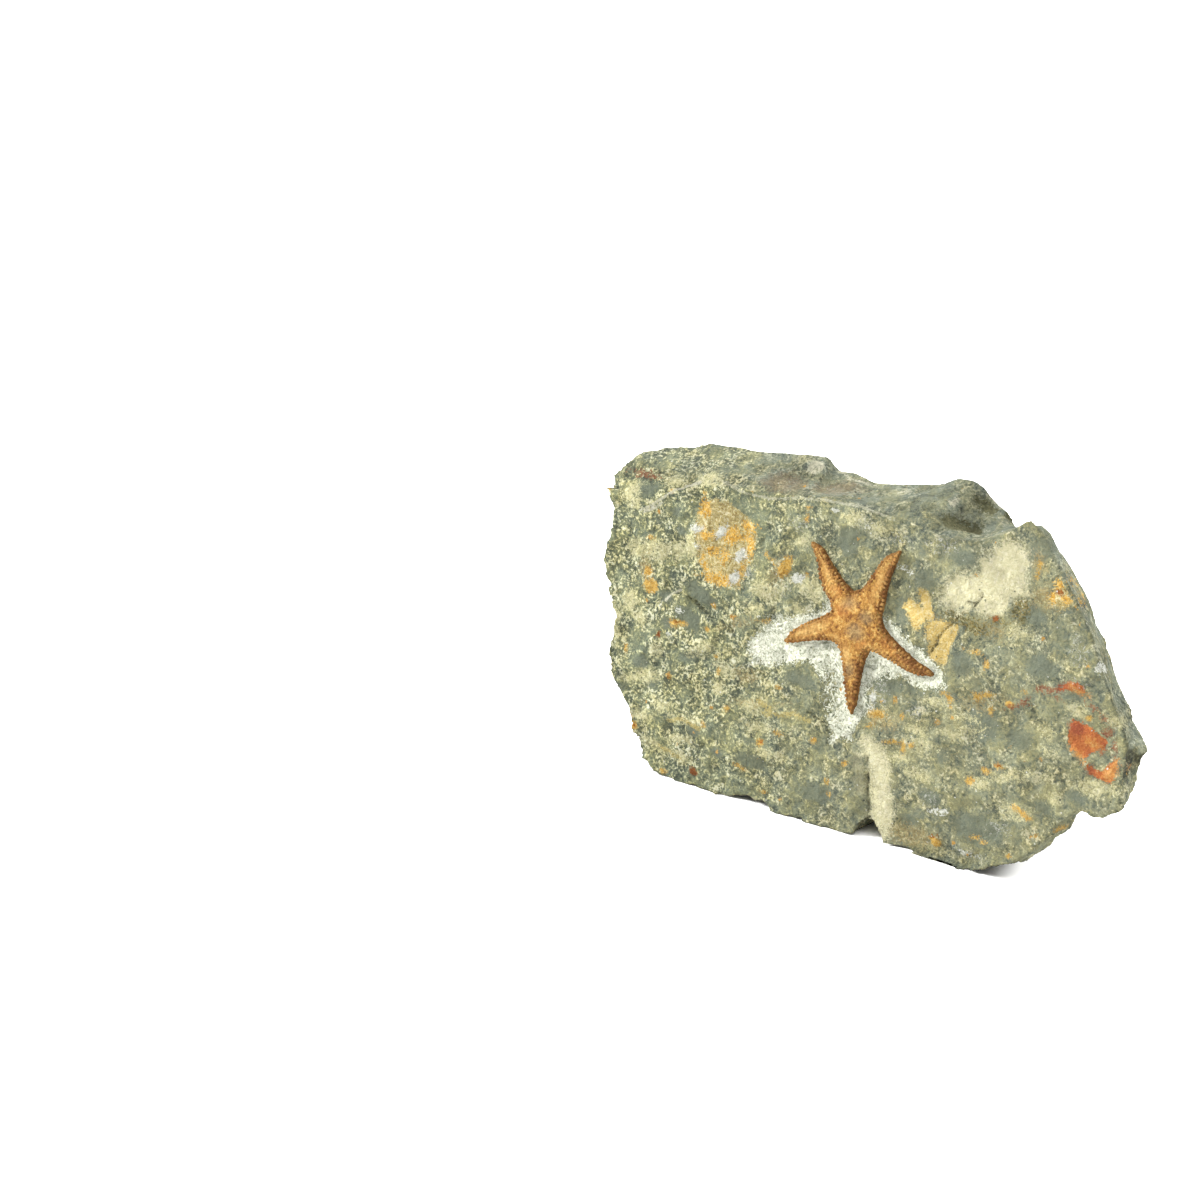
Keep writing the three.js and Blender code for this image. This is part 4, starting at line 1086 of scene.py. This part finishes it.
# %% Specks, painted shade in the hollows, bumps and the shader
SPECKS = [(1.7, 0.92, 0.1, "#a6a69d"), (5.0, 0.84, 0.09, "#96743d"), (2.2, 0.84, 0.1, "#3d4038")]
for size, rarity, radius, colour in SPECKS:
    cells = add(tree, "TexVoronoi", {"Vector": mm_place, "Scale": 1 / size}).node
    chance = add(tree, "SeparateXYZ", {"Vector": cells.outputs["Color"]})
    chosen = add(tree, "Math", {0: chance, 1: rarity}, operation="GREATER_THAN")
    uneven = add(tree, "Math", {0: wander, 1: 0.14, 2: cells.outputs["Distance"]}, operation="MULTIPLY_ADD")
    near = add(tree, "MapRange", {
        "Value": uneven, "From Min": radius + 0.04, "From Max": radius - 0.04,
    })
    fleck = add(tree, "Math", {0: near, 1: chosen}, operation="MULTIPLY")
    base = add(tree, "Mix", {"Factor": fleck, "A": base, "B": colour}, data_type="RGBA")
# Painted shade and highlight from the relief's own heights: low parts darken to 0.7 of the colour, raised
# flakes lighten to 1.12.
painted_relief_shade = add(tree, "MapRange", {
    "Value": kept["hollow"], "From Min": -1.0, "From Max": 0.8, "To Min": 0.7, "To Max": 1.12,
})
base = add(tree, "VectorMath", {0: base, "Scale": painted_relief_shade}, operation="SCALE")
relief = add(tree, "Math", {0: level, 1: 0.7, 2: grain}, operation="MULTIPLY_ADD")
bumped = add(tree, "Bump", {"Strength": 1.0, "Distance": 0.0011, "Height": relief})
shader = add(tree, "BsdfPrincipled", {
    "Base Color": base, "Roughness": 0.95, "Specular IOR Level": 0.1, "Normal": bumped,
})
add(tree, "OutputMaterial", {"Surface": shader})
block.data.materials.append(stone)
print(stone.name, "has", len(tree.nodes), "nodes")

# %% [markdown]
# ## The fossil's finish
# The skeleton was replaced by iron oxide, a soft rusty limonite: golden along the arms' middles and at
# their tips, reddish brown between the plates and along some margins, with greyish silt still clinging to
# the disc. Its outer edge darkens, partly as its own margin and partly as painted shade where it stands
# proud of the stone. A fine pattern of cells stands for the granules of its skin, with painted shade
# between them and painted highlight on their middles.

# %% Limonite
star_finish.use_nodes = True
tree = star_finish.node_tree
tree.nodes.clear()
place = add(tree, "TexCoord", take="Object")
mm_place = add(tree, "Mapping", {"Vector": place, "Scale": (1000, 1000, 1000)})
fine = add(tree, "TexNoise", {"Vector": mm_place, "Scale": 0.55, "Detail": 6.0, "Roughness": 0.78})
wander = add(tree, "Math", {0: fine, 1: 0.5}, operation="SUBTRACT")
coloured = add(tree, "ValToRGB", {"Fac": fine}, stops=[
    (0.38, "#502f14"), (0.46, "#795325"), (0.53, "#906a32"), (0.62, "#a5874f"),
])
for name, softness, strength, colours in (
    ("star_orange", 1.6, 0.7, ["#845425", "#996c36"]),
    ("star_grey", 2.4, 0.65, ["#625238", "#7b694c"]),
    ("star_gold", 1.6, 0.8, ["#936c35", "#a68a57"]),
    ("star_dark", 1.0, 0.6, ["#5b381a", "#7c542d"]),
):
    gap = add(tree, "Attribute", take="Fac", attribute_name=name)
    ragged = add(tree, "Math", {0: wander, 1: 5.0, 2: gap}, operation="MULTIPLY_ADD")
    cover = add(tree, "MapRange", {
        "Value": ragged, "From Min": softness / 2, "From Max": -softness / 2, "To Max": strength,
    })
    patch = add(tree, "ValToRGB", {"Fac": fine}, stops=[(0.38, colours[0]), (0.62, colours[1])])
    coloured = add(tree, "Mix", {"Factor": cover, "A": coloured, "B": patch}, data_type="RGBA")
inside = add(tree, "Attribute", take="Fac", attribute_name="inside_by")
# Darker brown along the starfish's edge: partly its own dark margin, partly painted shade where it stands
# proud of the stone.
margin_and_edge_shade = add(tree, "MapRange", {"Value": inside, "From Min": 1.5, "From Max": 0.5, "To Max": 0.6})
coloured = add(tree, "Mix", {"Factor": margin_and_edge_shade, "A": coloured, "B": "#533418"}, data_type="RGBA")
plate = add(tree, "Attribute", take="Fac", attribute_name="is_plate")
tone = add(tree, "Attribute", take="Fac", attribute_name="plate_tone")
plate_colour = add(tree, "ValToRGB", {"Fac": tone}, stops=[
    (0.0, "#5b391b"), (0.35, "#714c26"), (0.7, "#845e31"), (1.0, "#947444"),
])
coloured = add(tree, "Mix", {"Factor": plate, "A": coloured, "B": plate_colour}, data_type="RGBA")
gold_gap = add(tree, "Attribute", take="Fac", attribute_name="star_gold")
gold_cover = add(tree, "MapRange", {
    "Value": gold_gap, "From Min": 0.3, "From Max": -0.3, "To Max": 0.6,
})
gold_plate = add(tree, "Math", {0: gold_cover, 1: plate}, operation="MULTIPLY")
coloured = add(tree, "Mix", {"Factor": gold_plate, "A": coloured, "B": "#9f763e"}, data_type="RGBA")
dark_gap = add(tree, "Attribute", take="Fac", attribute_name="star_dark")
dark_cover = add(tree, "MapRange", {
    "Value": dark_gap, "From Min": 0.3, "From Max": -0.3, "To Max": 0.25,
})
coloured = add(tree, "Mix", {"Factor": dark_cover, "A": coloured, "B": "#503117"}, data_type="RGBA")
granules = add(tree, "TexVoronoi", {"Vector": mm_place, "Scale": 1.25}).node
# Painted shade between the granules and painted highlight on their middles, from the distance to each cell's
# centre.
shade = add(tree, "MapRange", {
    "Value": granules.outputs["Distance"], "From Min": 0.15, "From Max": 0.75, "To Min": 1.06, "To Max": 0.82,
})
coloured = add(tree, "VectorMath", {0: coloured, "Scale": shade}, operation="SCALE")
height = add(tree, "Math", {0: granules.outputs["Distance"], 1: -0.6, 2: fine}, operation="MULTIPLY_ADD")
relief = add(tree, "Bump", {"Strength": 1.0, "Distance": 0.001, "Height": height})
shader = add(tree, "BsdfPrincipled", {
    "Base Color": coloured, "Roughness": 0.85, "Specular IOR Level": 0.15, "Normal": relief,
})
add(tree, "OutputMaterial", {"Surface": shader})
print(star_finish.name, "has", len(tree.nodes), "nodes")

# %% [markdown]
# ## Floor and light
# A white sheet under a wide, bright ceiling, which drowns nearly all of the shadow round the stone. The
# relief is shown by a smaller window to the left of the face, whose light grazes it and leaves the right
# flank darker. A weak fill lamp behind it on the right lightens the shadow that is left beside the foot.

# %% Floor
floor_mesh = bpy.data.meshes.new("floor")
REACH = 12  # metres to each side
corners = [(-REACH, -REACH, 0), (REACH, -REACH, 0), (REACH, REACH, 0), (-REACH, REACH, 0)]
floor_mesh.from_pydata(corners, [], [(0, 1, 2, 3)])
floor = bpy.data.objects.new("floor", floor_mesh)
scene.collection.objects.link(floor)
sheet = bpy.data.materials.new("white_paper_sheet")
sheet.use_nodes = True
sheet.node_tree.nodes["Principled BSDF"].inputs["Base Color"].default_value = hex_colour("#f6f6f4")
sheet.node_tree.nodes["Principled BSDF"].inputs["Roughness"].default_value = 0.95
floor_mesh.materials.append(sheet)
floor.location.z = -0.0002  # just clear of the underside, so that the two don't flicker
print("floor:", 2 * REACH, "metres wide")

# %% Light
world = bpy.data.worlds.new("even light")
scene.world = world
world.use_nodes = True
world.node_tree.nodes["Background"].inputs["Color"].default_value = (1, 1, 1, 1)
world.node_tree.nodes["Background"].inputs["Strength"].default_value = 0.5


def lamp(name, place, aim, size, power):
    light = bpy.data.lights.new(name, "AREA")
    light.shape, light.size, light.energy = "DISK", size, power
    holder = bpy.data.objects.new(name, light)
    scene.collection.objects.link(holder)
    holder.location = place
    holder.rotation_euler = (Vector(aim) - Vector(place)).to_track_quat("-Z", "Y").to_euler()
    return holder


lamp("ceiling", (0, 0, 4), (0, 0, 0), 8, 750)
lamp("window", (-1.5, -0.95, 1.0), (0, 0, 0.05), 0.5, 90)
lamp("fill", (0.7, 1.2, 0.9), (0.05, 0, 0.04), 0.5, 46)
scene.view_settings.view_transform = "Standard"

# %% [markdown]
# ## Pieces on the body
# Each piece rides on the model's one body and stands for its solid, which is hidden.

# %% Pieces on the frame
for piece, node in ((block, "rock"), (star, "starfish")):
    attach(piece, "root")
    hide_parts(node)
